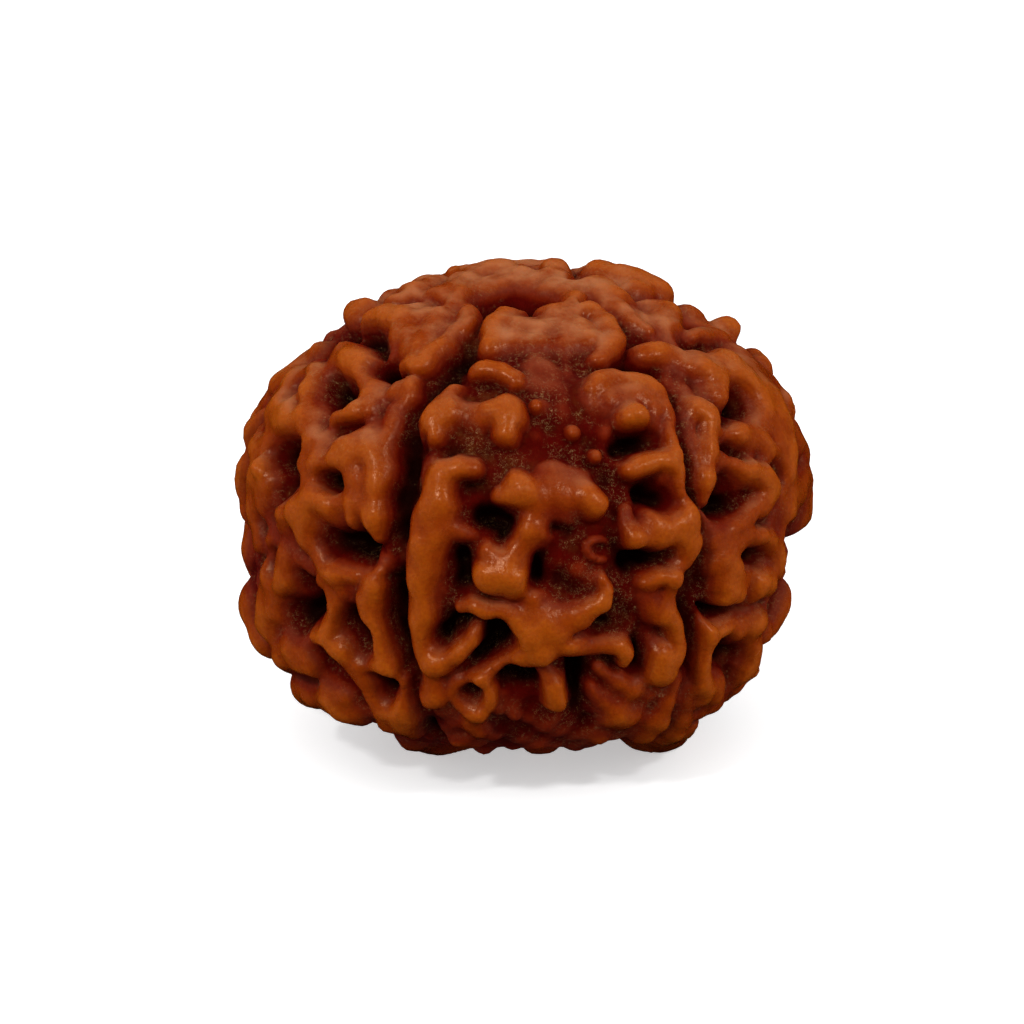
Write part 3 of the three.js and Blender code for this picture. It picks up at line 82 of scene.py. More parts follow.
# Ridges and knobs: each is a path of longitude, latitude, half width in degrees and height in
# mm. Longitude 0 is the front, -Y, and grows towards +X; latitude is from the widest level.
FRONT_RIDGES: Paths = {
    "hook": [
        [-11.3, 28, 2.6, 1.08], [-14.5, 27.9, 3, 1.15], [-17, 26, 3.4, 1.15],
        [-18.4, 22.5, 4, 1.15], [-18.6, 19, 4.7, 1.15], [-19, 15, 5.1, 1.1], [-20, 10, 4.9, 1.15],
        [-20.5, 5, 4, 1.1], [-20.8, 0, 3.8, 1.1], [-20.8, -5, 4, 1.15], [-20, -9.5, 3.2, 1.1],
        [-18.4, -13, 3, 1.1],
    ],
    "hook_bar": [[-15, 14.6, 2.6, 0.8], [-12.9, 14.4, 2.1, 0.72], [-11.2, 14.5, 1.8, 0.62]],
    "twin_knob": [[-4.3, 22.8, 2.4, 0.95], [-1, 23.6, 4.2, 1.3]],
    "shelf": [[4, 22.5, 4.2, 0.95], [8.2, 22.8, 4.4, 0.92], [12.5, 22, 4, 0.95]],
    "shelf_knob": [[14.6, 21.6, 3, 1.1], [15.6, 20, 3, 1.2]],
    "shelf_skirt": [[2.5, 17, 4.2, 0.85], [8, 17.5, 3.6, 0.75]],
    "shelf_top": [[5, 26.4, 2.8, 0.78], [9, 26.6, 3, 0.78], [13.5, 25, 2.8, 0.7]],
    "nodule": [[-7, 6, 3.4, 1.15], [-3.6, 6.1, 3.8, 1.2], [-1, 6, 2.8, 1.1]],
    "nodule_top": [[-6.5, 11, 2.6, 0.92], [-2.5, 11.2, 3, 0.98]],
    "nodule_stem": [
        [1.6, 15, 3, 0.84], [0, 11, 3.3, 0.84], [-1.3, 7, 3.1, 0.98], [-1.2, 3.5, 2.4, 1],
    ],
    "wave": [
        [-11.8, -0.8, 1.6, 0.85], [-9.4, -0.3, 2.2, 1], [-6.5, -1.4, 2.3, 1.05], [-3, -2.4, 3, 1],
        [1.5, -3.9, 4, 1], [5.3, -3.6, 4, 1], [10, -3.2, 3.4, 1.02], [13.4, -2, 2.8, 1.1],
        [16, 0, 2.2, 1.15], [17.2, 2.4, 1.8, 1.1], [16.4, 4.8, 1.4, 0.9],
    ],
    "plate": [[1.5, -6, 4, 1], [5.4, -6.5, 4.4, 1], [8.5, -7.5, 3.6, 0.95], [4.5, -9, 3.6, 1]],
    "plate_tongue": [
        [3.2, -10.3, 2.8, 0.95], [-0.3, -11.2, 2.4, 0.98], [-3.2, -12.6, 2.1, 0.98],
        [-6.6, -14.4, 2.1, 0.98], [-10.2, -16.4, 2.1, 0.95], [-14, -17.8, 2, 0.9],
    ],
    "plate_arm": [
        [10.1, -9.4, 2.6, 0.92], [13.7, -9.4, 2.2, 0.85], [17.2, -9.7, 2.1, 0.9],
        [20.3, -10, 2.2, 1.05], [21.9, -11.6, 2.1, 1.2], [21.9, -13.4, 1.8, 1.1],
    ],
    "pit_rim": [
        [-9.4, -5.4, 2, 0.9], [-9.9, -7.6, 2.3, 1], [-11.9, -9.8, 2.3, 1.05],
        [-15, -12, 2.5, 1.08], [-17.6, -13.8, 2.6, 1.05],
    ],
    "low_knob": [[-18.2, -17.5, 2.8, 1.05], [-18.4, -20.5, 3.6, 1.18]],
    "ring": [
        [-14.1, -19.4, 1.8, 0.95], [-12.3, -21.8, 2, 1], [-9.4, -23.4, 2.2, 1],
        [-7.1, -21.2, 1.9, 1], [-6.7, -18.2, 1.8, 0.98], [-8, -15.6, 1.8, 0.95],
    ],
    "chin": [[-9.9, -24, 2.8, 1], [-10.4, -28.4, 2.4, 0.9]],
    "upright_knob": [[4.8, -14.4, 2, 0.85], [6.5, -17.4, 2.8, 1.12], [7, -20.8, 3, 1.15]],
    "low_nub": [[-5, -24, 1.7, 0.75]],
    "slant_ridge": [[16.1, -14.8, 1.6, 0.7], [19.4, -17.2, 1.8, 0.74], [22.9, -20.4, 1.7, 0.7]],
    "hood_band": [
        [25.4, 25.7, 2, 1], [28, 26.8, 2.4, 1.12], [32, 27, 2.5, 1.15], [36, 26, 2.8, 1.15],
        [37.6, 23.5, 2.3, 1.1], [36.6, 20, 1.7, 1.05], [36.8, 17.5, 2.1, 1.05], [36.5, 14, 3, 1.1],
    ],
    "cheek": [
        [25, 12.5, 3.6, 1.05], [29, 13.3, 5, 1.1], [33.5, 13.3, 5.2, 1.15], [36.3, 9.5, 3.6, 1.1],
        [35, 5.8, 2.6, 1.05],
    ],
    "cheek_rim": [[22.8, 18, 1.6, 0.75], [23, 15, 1.9, 0.9], [23.3, 12, 2.2, 1.1]],
    "lip": [[25.6, 3.1, 2, 1], [28.5, 3.2, 2.2, 1.1], [31.5, 3, 2.2, 1.1]],
    "right_edge": [
        [32.8, 5, 1.6, 1], [31.6, 2, 2.1, 1.1], [30.6, -1.5, 2.4, 1.1], [30.6, -4.5, 3, 1.1],
        [32.7, -7.8, 2.6, 1.12], [33.6, -11.4, 2.4, 1.15], [32.8, -14.2, 2, 1],
    ],
    "round_knob": [[29.5, -13.9, 3.4, 1.15], [29.7, -16.8, 4, 1.22]],
    "foot_lobe": [[35, -21, 2.6, 0.95], [34, -25, 3.2, 1], [32, -30, 3.2, 0.95], [31, -36, 3, 0.9]],
    "small_ring": [
        [18, 12.2, 0.8, 0.5], [16.7, 12.9, 0.9, 0.6], [15.2, 13, 0.9, 0.65], [13.9, 12, 0.9, 0.65],
        [13.6, 10.6, 0.9, 0.65], [14.4, 9.3, 0.9, 0.6], [15.9, 8.6, 0.8, 0.6],
        [17.5, 8.7, 0.7, 0.5],
    ],
    "gold_nub": [[17.7, 29.8, 1.6, 0.85]],
    "cross_nubs": [[4.4, 42, 1.8, 0.95], [6, 42.4, 1.8, 0.7]],
    "column_nub": [[13.5, 35.6, 1.9, 0.85]],
    "column": [[6, 54, 4.5, 0.72], [8, 49, 5, 0.6], [10, 44, 5, 0.5], [12, 39, 4, 0.4]],
    "bow_knob": [
        [-22.2, 44, 3.2, 1.05], [-22.5, 41, 4.3, 1.18], [-23, 37.5, 4.9, 1.2], [-23, 35, 4, 1.12],
    ],
    "bow_web": [[-18, 40, 3.5, 0.92], [-13.6, 39.4, 3.6, 0.9], [-10, 39.4, 3.4, 0.95]],
    "bow_end": [
        [-6.8, 41, 3.5, 1.1], [-4.4, 41.3, 4, 1.2], [-3.5, 38.8, 4.1, 1.22], [-4, 36, 3.4, 1.12],
    ],
    "crown_bar": [
        [-16.5, 50.8, 2.3, 1], [-12, 51.8, 2.7, 1.1], [-7, 51.5, 2.7, 1.1], [-3, 49.8, 2.6, 1.1],
        [-1.5, 47.8, 2, 0.95],
    ],
    "hood_rim": [
        [22.5, 45.5, 2.2, 0.95], [26, 47.3, 2.6, 1.1], [31, 47.4, 2.6, 1.1], [36, 46, 2.6, 1.1],
        [40.5, 43.8, 2.6, 1.1], [42.3, 40, 2.4, 1.1], [41.8, 35.5, 2.2, 1.1],
        [40, 31.5, 2.4, 1.15], [38, 28, 2.6, 1.1],
    ],
    "hood_plate": [
        [27, 43, 3.4, 0.95], [32, 42, 3.6, 0.95], [37, 41, 3.6, 0.95], [38.5, 37.5, 2.6, 0.9],
    ],
    "hood_knob": [[29.8, 36.6, 3.3, 1.45]],
    "low_nub_right": [[-1.5, -25.5, 1.6, 0.7]],
    "edge_lump": [[27, 0.5, 3, 0.85], [28.5, -4, 3.4, 0.9]],
    "slant_low": [[14.5, -19.9, 1.7, 0.66], [18.1, -23.6, 1.9, 0.7], [22.4, -26.6, 1.9, 0.68]],
}

# Hollows and slots of the front: the same, with a depth for the height
FRONT_PITS: Paths = {
    "groove_eyes": [[-24.5, 33, 1.3, 0.5], [-25.5, 27, 1.2, 0.4]],
    "groove_low": [[-26.8, 19.5, 1.6, 0.6], [-26.8, 14, 1.4, 0.5]],
    "groove_cup": [[-25.6, -2, 1.8, 0.55], [-25.6, -8, 1.8, 0.6]],
    "under_twin_knob": [
        [-8.5, 18.3, 1.8, 0.85], [-5, 17.3, 2.3, 1.25], [-3, 16.8, 1.9, 1.25],
        [-4.5, 13.5, 1.6, 0.7],
    ],
    "left_slot": [[-13, 9, 1.9, 0.9], [-12.4, 4.5, 1.9, 0.9]],
    "right_slot": [[3.1, 9.5, 1.6, 0.8], [3, 5.5, 1.7, 0.95]],
    "eye": [[29, 20.5, 2.4, 1.25], [31, 18.6, 2.4, 1.25]],
    "mouth": [[23.5, 7, 1.8, 1.25], [27, 7.3, 1.9, 1.25], [30, 7.5, 1.6, 0.55]],
    "under_hood": [[25, 31.7, 2.2, 1], [29, 32, 2.2, 1.25], [33, 31.5, 2, 0.7]],
    "middle": [[6.6, 15.8, 1.3, 0.75], [10, 14.8, 1.2, 0.45]],
    "left_cup": [[-10.8, -3.4, 1.5, 0.6], [-14, -5, 2.3, 1.15], [-16.2, -7.6, 2, 1.25]],
    "middle_cup": [
        [-4.6, -4.8, 1.8, 1], [-4.2, -7.4, 2.2, 1.1], [-6.2, -9.8, 1.9, 0.9],
        [-9.5, -12.4, 1.5, 0.5],
    ],
    "under_tongue": [[-2.2, -15.8, 2.3, 1.2], [0.8, -17, 1.9, 1.25]],
    "beside_knob": [[11.5, -14.2, 1.7, 1.1], [11.5, -17.6, 1.9, 1.3], [12, -24, 2, 0.5]],
    "slit": [[10.5, -6.6, 0.9, 0.35], [14, -6.2, 1, 0.5], [17.5, -5.8, 1.2, 0.5]],
    "under_arm": [[24, -15.8, 1.4, 1], [24.5, -10, 1.6, 0.4]],
    "ring_hole": [[-10.4, -19.4, 1.9, 0.8]],
}

# The face to the left of the front
LEFT_RIDGES: Paths = {
    "border_top": [
        [-38.5, 42.5, 3.2, 1], [-36, 44.3, 3, 1.05], [-33.5, 42, 2.3, 0.95],
        [-35.5, 38, 2.7, 0.85], [-34.5, 33, 3, 0.85],
    ],
    "brow": [
        [-44.2, 26.6, 4.1, 1.1], [-40, 28.3, 4.6, 1.1], [-35.5, 28.6, 4.3, 1.05],
        [-33, 25, 3.4, 1.05], [-32.3, 20, 3.1, 1.05], [-31.8, 15.5, 2.8, 1.05],
        [-31.3, 11.8, 1.9, 0.95],
    ],
    "brow_skirt": [[-42, 23.5, 2.7, 0.9], [-38.5, 21.5, 3.6, 0.95], [-37.2, 18, 3.4, 0.9]],
    "leaf_bar": [
        [-52, 31.6, 1.9, 0.95], [-50, 33.5, 2.6, 1.1], [-47, 35, 2.7, 1.12],
        [-43.2, 36.2, 2.3, 0.98],
    ],
    "leaf_stem": [[-51.8, 30, 1.7, 0.75], [-51, 26.5, 2.3, 0.8]],
    "top_lobe": [
        [-46.6, 39.4, 2.7, 0.95], [-51.3, 41.8, 3.2, 1], [-58.7, 44.6, 4.1, 1.1],
        [-67, 46, 5.5, 1.15], [-72, 45, 5, 1.05],
    ],
    "arch_rim": [
        [-98, 50, 4.6, 1.3], [-92, 51.5, 4.6, 1.3], [-86, 54, 4.6, 1.2], [-76, 57.5, 4.1, 1.1],
        [-66, 59, 3.6, 1],
    ],
    "nub": [[-46.5, 42.6, 1.8, 0.95], [-44.5, 42, 1.6, 0.9]],
    "valley": [[-42, 38, 3.4, 0.6], [-40, 33, 3.2, 0.65]],
    "mid_bar": [
        [-84, 25, 4.1, 1.05], [-76, 26.5, 3.9, 1.05], [-70, 26.3, 3.6, 1.05], [-65, 26.8, 3.6, 1],
        [-60, 27.5, 3.4, 1], [-56, 26, 3, 0.95], [-55.5, 21, 2.7, 0.95],
    ],
    "upright": [
        [-75.5, 37.6, 2.5, 1], [-69.8, 35.7, 2.5, 1], [-65.6, 33.1, 2.6, 1], [-63.5, 30.5, 2.7, 1],
    ],
    "outer_top": [
        [-88, 34.5, 4.6, 1.05], [-84, 32, 4.8, 1.1], [-80, 30, 4.6, 1.1], [-77, 28, 3.9, 1.05],
    ],
    "outer_middle": [[-88, 19, 4.6, 1.05], [-78, 16.5, 5.1, 1.1], [-69, 13.5, 5, 1.1]],
    "outer_nub": [[-69, 15.5, 2.3, 1.25]],
    "star": [
        [-51.5, 19.5, 3.6, 0.95], [-50.8, 15, 4, 1], [-51, 10.5, 4.6, 1.1], [-50, 6.8, 3.3, 1.1],
        [-46, 4.4, 2.3, 0.9],
    ],
    "star_spike": [[-54, 10.5, 3, 1.05], [-59, 9.3, 1.5, 0.95]],
    "star_arm": [[-48, 16.5, 3.4, 1], [-44, 15.5, 3, 0.9], [-42, 16.5, 2.5, 0.8]],
    "pit_roof": [[-51, 23, 3.1, 1], [-46.5, 23.6, 2.8, 0.95]],
    "leaf": [[-38.2, 17.6, 1.4, 0.9], [-37.8, 15, 1.7, 1], [-36.8, 12.3, 1.5, 0.95]],
    "leaf_flank": [[-35.3, 16, 2.3, 0.5]],
    "ledge": [[-32, 8, 1.8, 0.75], [-29.5, 5.5, 2.7, 0.75], [-27, 6.5, 2.5, 0.6]],
    "tooth": [[-41, 1.2, 2.7, 1], [-39, 3.2, 3, 1.1], [-36.2, 3.2, 2.4, 0.95]],
    "thread": [[-45, 3.6, 1.5, 0.75], [-43.8, 0.6, 1.8, 0.85], [-45.3, -1.7, 1.8, 0.9]],
    "inner": [
        [-43, -2.5, 2.7, 0.85], [-41.5, -6, 3.4, 1], [-43, -9.5, 3.4, 1.05], [-45.5, -12.5, 3, 1],
    ],
    "zigzag": [
        [-30, 4, 1.6, 0.9], [-30.8, 1, 2.6, 1.1], [-31.8, -2.5, 3.6, 1.15],
        [-31.6, -5.5, 3.4, 1.15], [-30, -9, 2.8, 1.1], [-28.6, -12.5, 2.6, 1.05],
        [-27.4, -15, 2.4, 1],
    ],
    "belly": [
        [-57, -4.5, 3.6, 1], [-62, -6.5, 5.7, 1.1], [-64, -12, 6.3, 1.15], [-65, -17, 4.6, 1.1],
    ],
    "sill": [[-58, 5, 2.3, 0.6], [-56.5, 1, 3, 0.85], [-55, -3, 2.5, 0.8]],
    "diagonal": [
        [-47.5, -12.5, 2.7, 1], [-43.5, -13.5, 3.1, 1.05], [-40, -15, 3.3, 1.1],
        [-36.5, -18.3, 3.3, 1.05], [-33.5, -22, 3.1, 1], [-32, -26.5, 3.4, 1],
        [-32, -31, 3.4, 0.95],
    ],
    "cross": [[-34, -15.5, 2.6, 0.95], [-30.5, -15.8, 2.5, 1], [-27.5, -16.4, 2.4, 1]],
    "hole_rim": [
        [-25.8, -19, 2.6, 1], [-25.4, -23.5, 3.1, 1.1], [-26.5, -28.5, 3.1, 1.05],
        [-28, -34, 3.1, 0.95],
    ],
    "haunch": [[-52, -21, 3.4, 1], [-57, -21.5, 4.3, 1.1], [-61, -24, 4.3, 1.1]],
    "haunch_foot": [
        [-68, -38, 4.1, 1], [-62, -32, 4.1, 1], [-55, -30, 3.9, 1], [-48, -30, 3.6, 1],
        [-42, -32.5, 3.4, 0.95],
    ],
    "outer_lower": [[-74, 8, 3.9, 1.1], [-73, 3, 3.6, 1.1], [-70, -1.5, 3.2, 1]],
    "edge_top": [[-104, 34, 4.6, 0.75]],
    "edge_upper": [[-98, 28, 5.7, 1.1]],
    "edge_middle": [[-92, 15, 5.5, 1.3]],
    "edge_lower": [[-91, 6, 5.7, 1.35], [-91, -1, 5.1, 1.2]],
    "edge_belly": [[-87, -8, 5.7, 1]],
    "edge_haunch": [[-82, -19, 5.1, 1.1], [-74, -24, 4.1, 1.05]],
}

LEFT_PITS: Paths = {
    "under_arch": [[-78, 50.5, 2.8, 0.5], [-68, 51, 3.2, 0.73], [-61, 50, 2.6, 0.56]],
    "beside_nub": [[-51, 45.5, 1.9, 0.95], [-47.5, 45.8, 1.9, 1.12]],
    "brow_pit": [[-61.7, 37, 2.6, 1.23], [-56.6, 36.8, 3, 1.5], [-52, 36.6, 2.2, 1.12]],
    "outer_hollow": [[-74, 32, 2.3, 0.67]],
    "mid_pit": [[-66, 20.2, 2.6, 1.23], [-63, 21.6, 2.8, 1.5], [-59.6, 23, 1.9, 0.9]],
    "crown_hole": [[-40, 46.6, 1, 0.62]],
    "slot_under_leaf": [[-49, 29, 1.5, 0.39], [-45, 30.5, 1.5, 0.45]],
    "star_valley": [[-60, 17, 1.7, 0.55], [-61.7, 12, 2.2, 0.72], [-63, 7.5, 1.8, 0.45]],
    "round_pit": [[-46, 19.6, 1.6, 1.12], [-44.2, 20, 1.7, 1.5]],
    "oval_pit": [[-41.5, 8.3, 2.3, 0.78], [-38, 7.6, 3, 1.4], [-34.5, 8.3, 2.8, 1.5]],
    "sill_slot": [[-61.5, -0.5, 1.6, 0.67], [-61.5, -3.2, 1.9, 0.95]],
    "cup": [
        [-51, -2.5, 2, 0.45], [-47, -6.5, 2.7, 1.29], [-48.5, -9.5, 2.7, 1.46],
        [-53.5, -13, 2.4, 1.23],
    ],
    "zigzag_pit": [[-37, -8.5, 2.2, 1.06], [-34.5, -10.5, 2.7, 1.5], [-34, -12.5, 2.2, 1.01]],
    "haunch_pit": [
        [-47, -17.5, 2.2, 0.9], [-44.5, -18.5, 2.7, 1.5], [-42, -21, 2.3, 1.06],
        [-38.5, -25, 2, 0.73], [-36, -29, 1.8, 0.5],
    ],
    "small_hole": [[-29, -20, 2.3, 1.4], [-30, -22, 1.9, 0.84]],
    "foot_hollow": [[-36, -36.5, 2.2, 0.62], [-32, -36, 2.2, 0.45]],
    "edge_notch": [[-100, 41.5, 2.6, 1.3], [-92, 41, 2.4, 1.3], [-86, 41.5, 2, 0.8]],
    "low_hole": [[-58, -27, 2, 0.67], [-53, -26, 2, 0.62]],
    "belly_notch": [[-74, -18, 2.4, 0.78], [-68, -21, 2, 0.62]],
    "edge_gap": [[-84, 21.5, 2, 0.39], [-82, 11, 2.2, 0.28], [-80, -4, 2.2, 0.39]],
}

# The face to the right of the front
RIGHT_RIDGES: Paths = {
    "border": [
        [49.5, 35.3, 2.7, 1], [51.5, 32.6, 3.1, 1.1], [50.6, 30, 3.1, 1.1], [47.6, 27.5, 2.9, 1.1],
        [45.6, 24.5, 2.6, 1.05], [44, 20.5, 2.5, 1.05], [43.2, 17, 2.2, 1],
    ],
    "border_lobe": [[51, 34.5, 3.4, 1.05], [53, 32, 2.7, 1.05]],
    "crown_lobe": [
        [49.5, 50.8, 3.6, 1.05], [54, 50.4, 4.3, 1.15], [58.5, 47.5, 3.8, 1.1],
        [62, 42, 3.4, 1.05],
    ],
    "dusty_lobe": [[66, 43, 3.4, 0.9], [64, 39, 4.7, 1], [61, 35.5, 4.5, 0.95]],
    "dusty_nub": [[66.5, 33.5, 2.5, 1.1]],
    "big_lobe": [
        [73, 40, 5.6, 1.1], [76, 34, 6.7, 1.15], [77, 27, 7.3, 1.15], [76, 20, 6.2, 1.1],
        [74, 13, 3.8, 1.05],
    ],
    "big_lobe_back": [[88, 34, 7.3, 0.95], [91, 22, 7.8, 0.88], [92, 11, 6.7, 1.05]],
    "big_lobe_top": [[80, 47.5, 2.8, 0.9], [88, 45, 3.1, 1], [96, 41, 3.4, 1]],
    "upper_lobe": [[54, 28, 2.7, 0.8], [60, 26, 3.1, 1], [65, 23, 3.4, 1.05], [67.5, 19, 2.9, 1]],
    "cup_rim": [
        [48, 24.5, 1.8, 0.8], [52, 22.2, 2.4, 1], [56.5, 18.8, 2.9, 1.15], [61.5, 15.8, 3.8, 1.2],
        [63, 12.8, 3.6, 1.15], [57.5, 10.3, 2.7, 1], [52, 9.4, 2.2, 0.9], [47, 10.8, 1.8, 0.8],
    ],
    "ledge": [[41, 14, 1.4, 0.7], [43, 11, 2.9, 0.75], [46, 8.5, 3.4, 0.75], [49, 6, 2.7, 0.7]],
    "arch": [
        [47.8, 4.5, 1.8, 0.8], [51.5, 5.5, 2.4, 0.9], [56.5, 5, 2.8, 1], [61, 3, 3.2, 1.05],
        [64, -1, 2.9, 1],
    ],
    "low_lobe": [[70, 6, 4, 1.05], [77, 7.5, 4.9, 1.1], [86, 5, 5.4, 1.1], [85, -1.5, 4, 1.1]],
    "middle_lobe": [
        [44, 2.5, 3.6, 1.05], [46.5, -0.5, 4.9, 1.15], [48.5, -3, 4.5, 1.1], [46, -5, 3.6, 1],
    ],
    "small_knob": [[56, -5.5, 3.4, 1.05], [60, -6.5, 3.6, 1.1]],
    "edge_knob": [[65, -4, 3.1, 1.05], [68, -8, 3.4, 1.05]],
    "low_bar": [
        [42, -11.5, 2.6, 0.95], [46, -12.5, 3.4, 1], [50, -12.5, 3.4, 1], [54, -13, 3.1, 1],
        [58, -13.5, 2.9, 1],
    ],
    "long_ridge": [
        [40.8, -8, 1.5, 0.95], [40.5, -13, 2.2, 1], [40.5, -18, 2.6, 1.05], [41.5, -23, 2.8, 1.1],
        [42.8, -27, 2.4, 1],
    ],
    "second_ridge": [
        [43, -14, 1.6, 0.8], [44.5, -18, 1.8, 0.9], [46.5, -23, 2.4, 0.95], [48, -27, 2.8, 1],
    ],
    "outer_lobe": [[56, -15, 3.8, 1], [57, -19.5, 4.3, 1.1], [57, -25, 4, 1.05]],
    "foot": [[37, -24, 2.2, 0.9], [39.5, -30, 3.1, 1], [40.5, -36, 3.4, 1.05], [43, -42, 3.6, 1.1]],
    "foot_web": [[47, -33, 3.6, 0.95], [53, -34, 3.6, 0.95]],
    "outer_knobs": [[72, -21, 4.5, 1.05], [79, -17, 4.5, 1.15]],
    "lower_knobs": [[60, -33, 3.8, 1], [66, -29, 4, 1], [73, -31.5, 4, 0.85]],
    "border_inner": [
        [45.5, 34.4, 2.5, 0.9], [44, 30.5, 2.4, 0.9], [42.8, 25, 1.9, 0.86], [41.3, 20, 1.6, 0.8],
    ],
}

RIGHT_PITS: Paths = {
    "crown_slot": [[36, 49.6, 1.7, 0.62], [42, 48.2, 1.9, 0.78], [47, 46.5, 1.8, 0.62]],
    "top_slot": [[73, 45, 1.9, 0.62], [79, 44.6, 1.5, 0.78]],
    "lobe_pit": [[56, 30.5, 1.7, 0.65], [62, 30.4, 2.1, 0.84], [68, 31.4, 2.9, 1.5]],
    "upper_slit": [[54, 23.5, 1.7, 0.62], [57, 22, 1.6, 0.62]],
    "cup": [[49, 17.5, 2.5, 0.84], [46.8, 14.8, 3.1, 1.5], [50, 13.6, 2.5, 1.01]],
    "side_slit": [[67.5, 16.5, 1.3, 0.62], [69, 13.5, 1.4, 0.78]],
    "arch_pit": [[53, 1.6, 1.8, 0.67], [57, 0.2, 1.9, 0.84]],
    "lobe_slit": [[57, 7.8, 1.1, 0.45], [60, 6.8, 1.1, 0.45]],
    "bar_slit": [[41.5, -7.5, 1.2, 0.78], [46.5, -8, 1.4, 0.9]],
    "ridge_pit": [[45.5, -16, 2.3, 1.34], [47.5, -20.5, 2.4, 1.12], [51, -24, 2.2, 0.62]],
    "edge_gap": [
        [70, 1.5, 1.8, 0.6], [66, -12.5, 2.2, 0.8], [77, -9.5, 2.6, 0.95], [84, -9, 3, 1.2],
        [91, -10, 3.4, 1.5], [96, -13.5, 3, 1.5],
    ],
    "low_gap": [[64, -24.5, 2.2, 0.78], [76, -26, 2.2, 0.67]],
    "mid_gap": [[52.5, -20, 2, 0.67]],
    "border_slit": [[46.8, 31, 0.9, 0.2], [45, 27, 0.9, 0.22], [43.6, 22.5, 0.8, 0.2]],
}

# Low broad masses that the ridges of each face stand on
FRONT_MASSES: Paths = {
    "left_upper": [[-20, 24, 5, 0.55], [-19, 12, 5, 0.55], [-19, 0, 5, 0.55], [-16, -12, 6, 0.55]],
    "left_lower": [[-12, -20, 6, 0.66], [-13, -32, 7, 0.72]],
    "bow": [[-20, 38, 5, 0.44], [-6, 38, 5, 0.39]],
    "hood": [[24, 44, 5, 0.55], [34, 42, 6, 0.66], [38, 32, 5, 0.66]],
    "right": [
        [34, 22, 5, 0.66], [33, 12, 6, 0.66], [32, 0, 5, 0.55], [31, -10, 5, 0.66],
        [30, -20, 6, 0.77], [31, -32, 7, 0.77],
    ],
    "middle": [[6, 21, 7, 0.5], [-4, 8, 6, 0.55], [3, -6, 7, 0.85], [10, -6, 5, 0.85]],
    "bottom": [[2, -26, 7, 0.44], [12, -27, 6, 0.39], [4, -36, 7, 0.5], [18, -37, 7, 0.5]],
    "dome": [[21, -20, 5, 0.72], [23, -26, 6.5, 0.83], [22, -33, 6, 0.72]],
}

LEFT_MASSES: Paths = {
    "top": [[-43, 40, 5, 0.72], [-52, 37, 6, 0.72], [-62, 36, 7, 0.89], [-74, 34, 8, 0.92]],
    "upper": [[-38, 25, 5, 0.83], [-50, 25, 6, 0.83], [-60, 26, 6, 0.89], [-74, 22, 8, 0.92]],
    "middle": [[-35, 15, 4.5, 0.77], [-46, 14, 6, 0.83], [-55, 10, 6, 0.89], [-72, 9, 6, 0.92]],
    "lower": [[-33, 2, 4.5, 0.72], [-42, -1, 5, 0.77], [-51, 2, 5, 0.65], [-62, -3, 7, 0.89]],
    "haunch": [[-30, -13, 5, 0.72], [-40, -13, 5, 0.83], [-52, -18, 6, 0.83], [-64, -17, 8, 0.92]],
    "foot": [[-27, -28, 6, 0.77], [-40, -28, 6, 0.77], [-54, -28, 7, 0.83]],
}

RIGHT_MASSES: Paths = {
    "top": [[46, 41, 4, 0.57], [56, 41, 6, 0.79], [70, 38, 8, 0.92]],
    "upper": [[48, 30, 5, 0.74], [60, 29, 6, 0.74], [76, 26, 9, 0.92]],
    "middle": [[45, 20, 4, 0.68], [56, 20, 5, 0.74], [72, 15, 8, 0.92]],
    "ledge": [[44, 9, 5, 0.74], [54, 6, 6, 0.74], [68, 4, 8, 0.92]],
    "lower": [[46, -3, 5, 0.79], [58, -5, 6, 0.91], [70, -8, 7, 0.92]],
    "haunch": [[42, -12, 4, 0.79], [50, -13, 5, 0.79], [62, -18, 7, 0.91]],
    "foot": [[42, -25, 5, 0.86], [54, -27, 6, 0.79], [66, -26, 7, 0.86]],
}

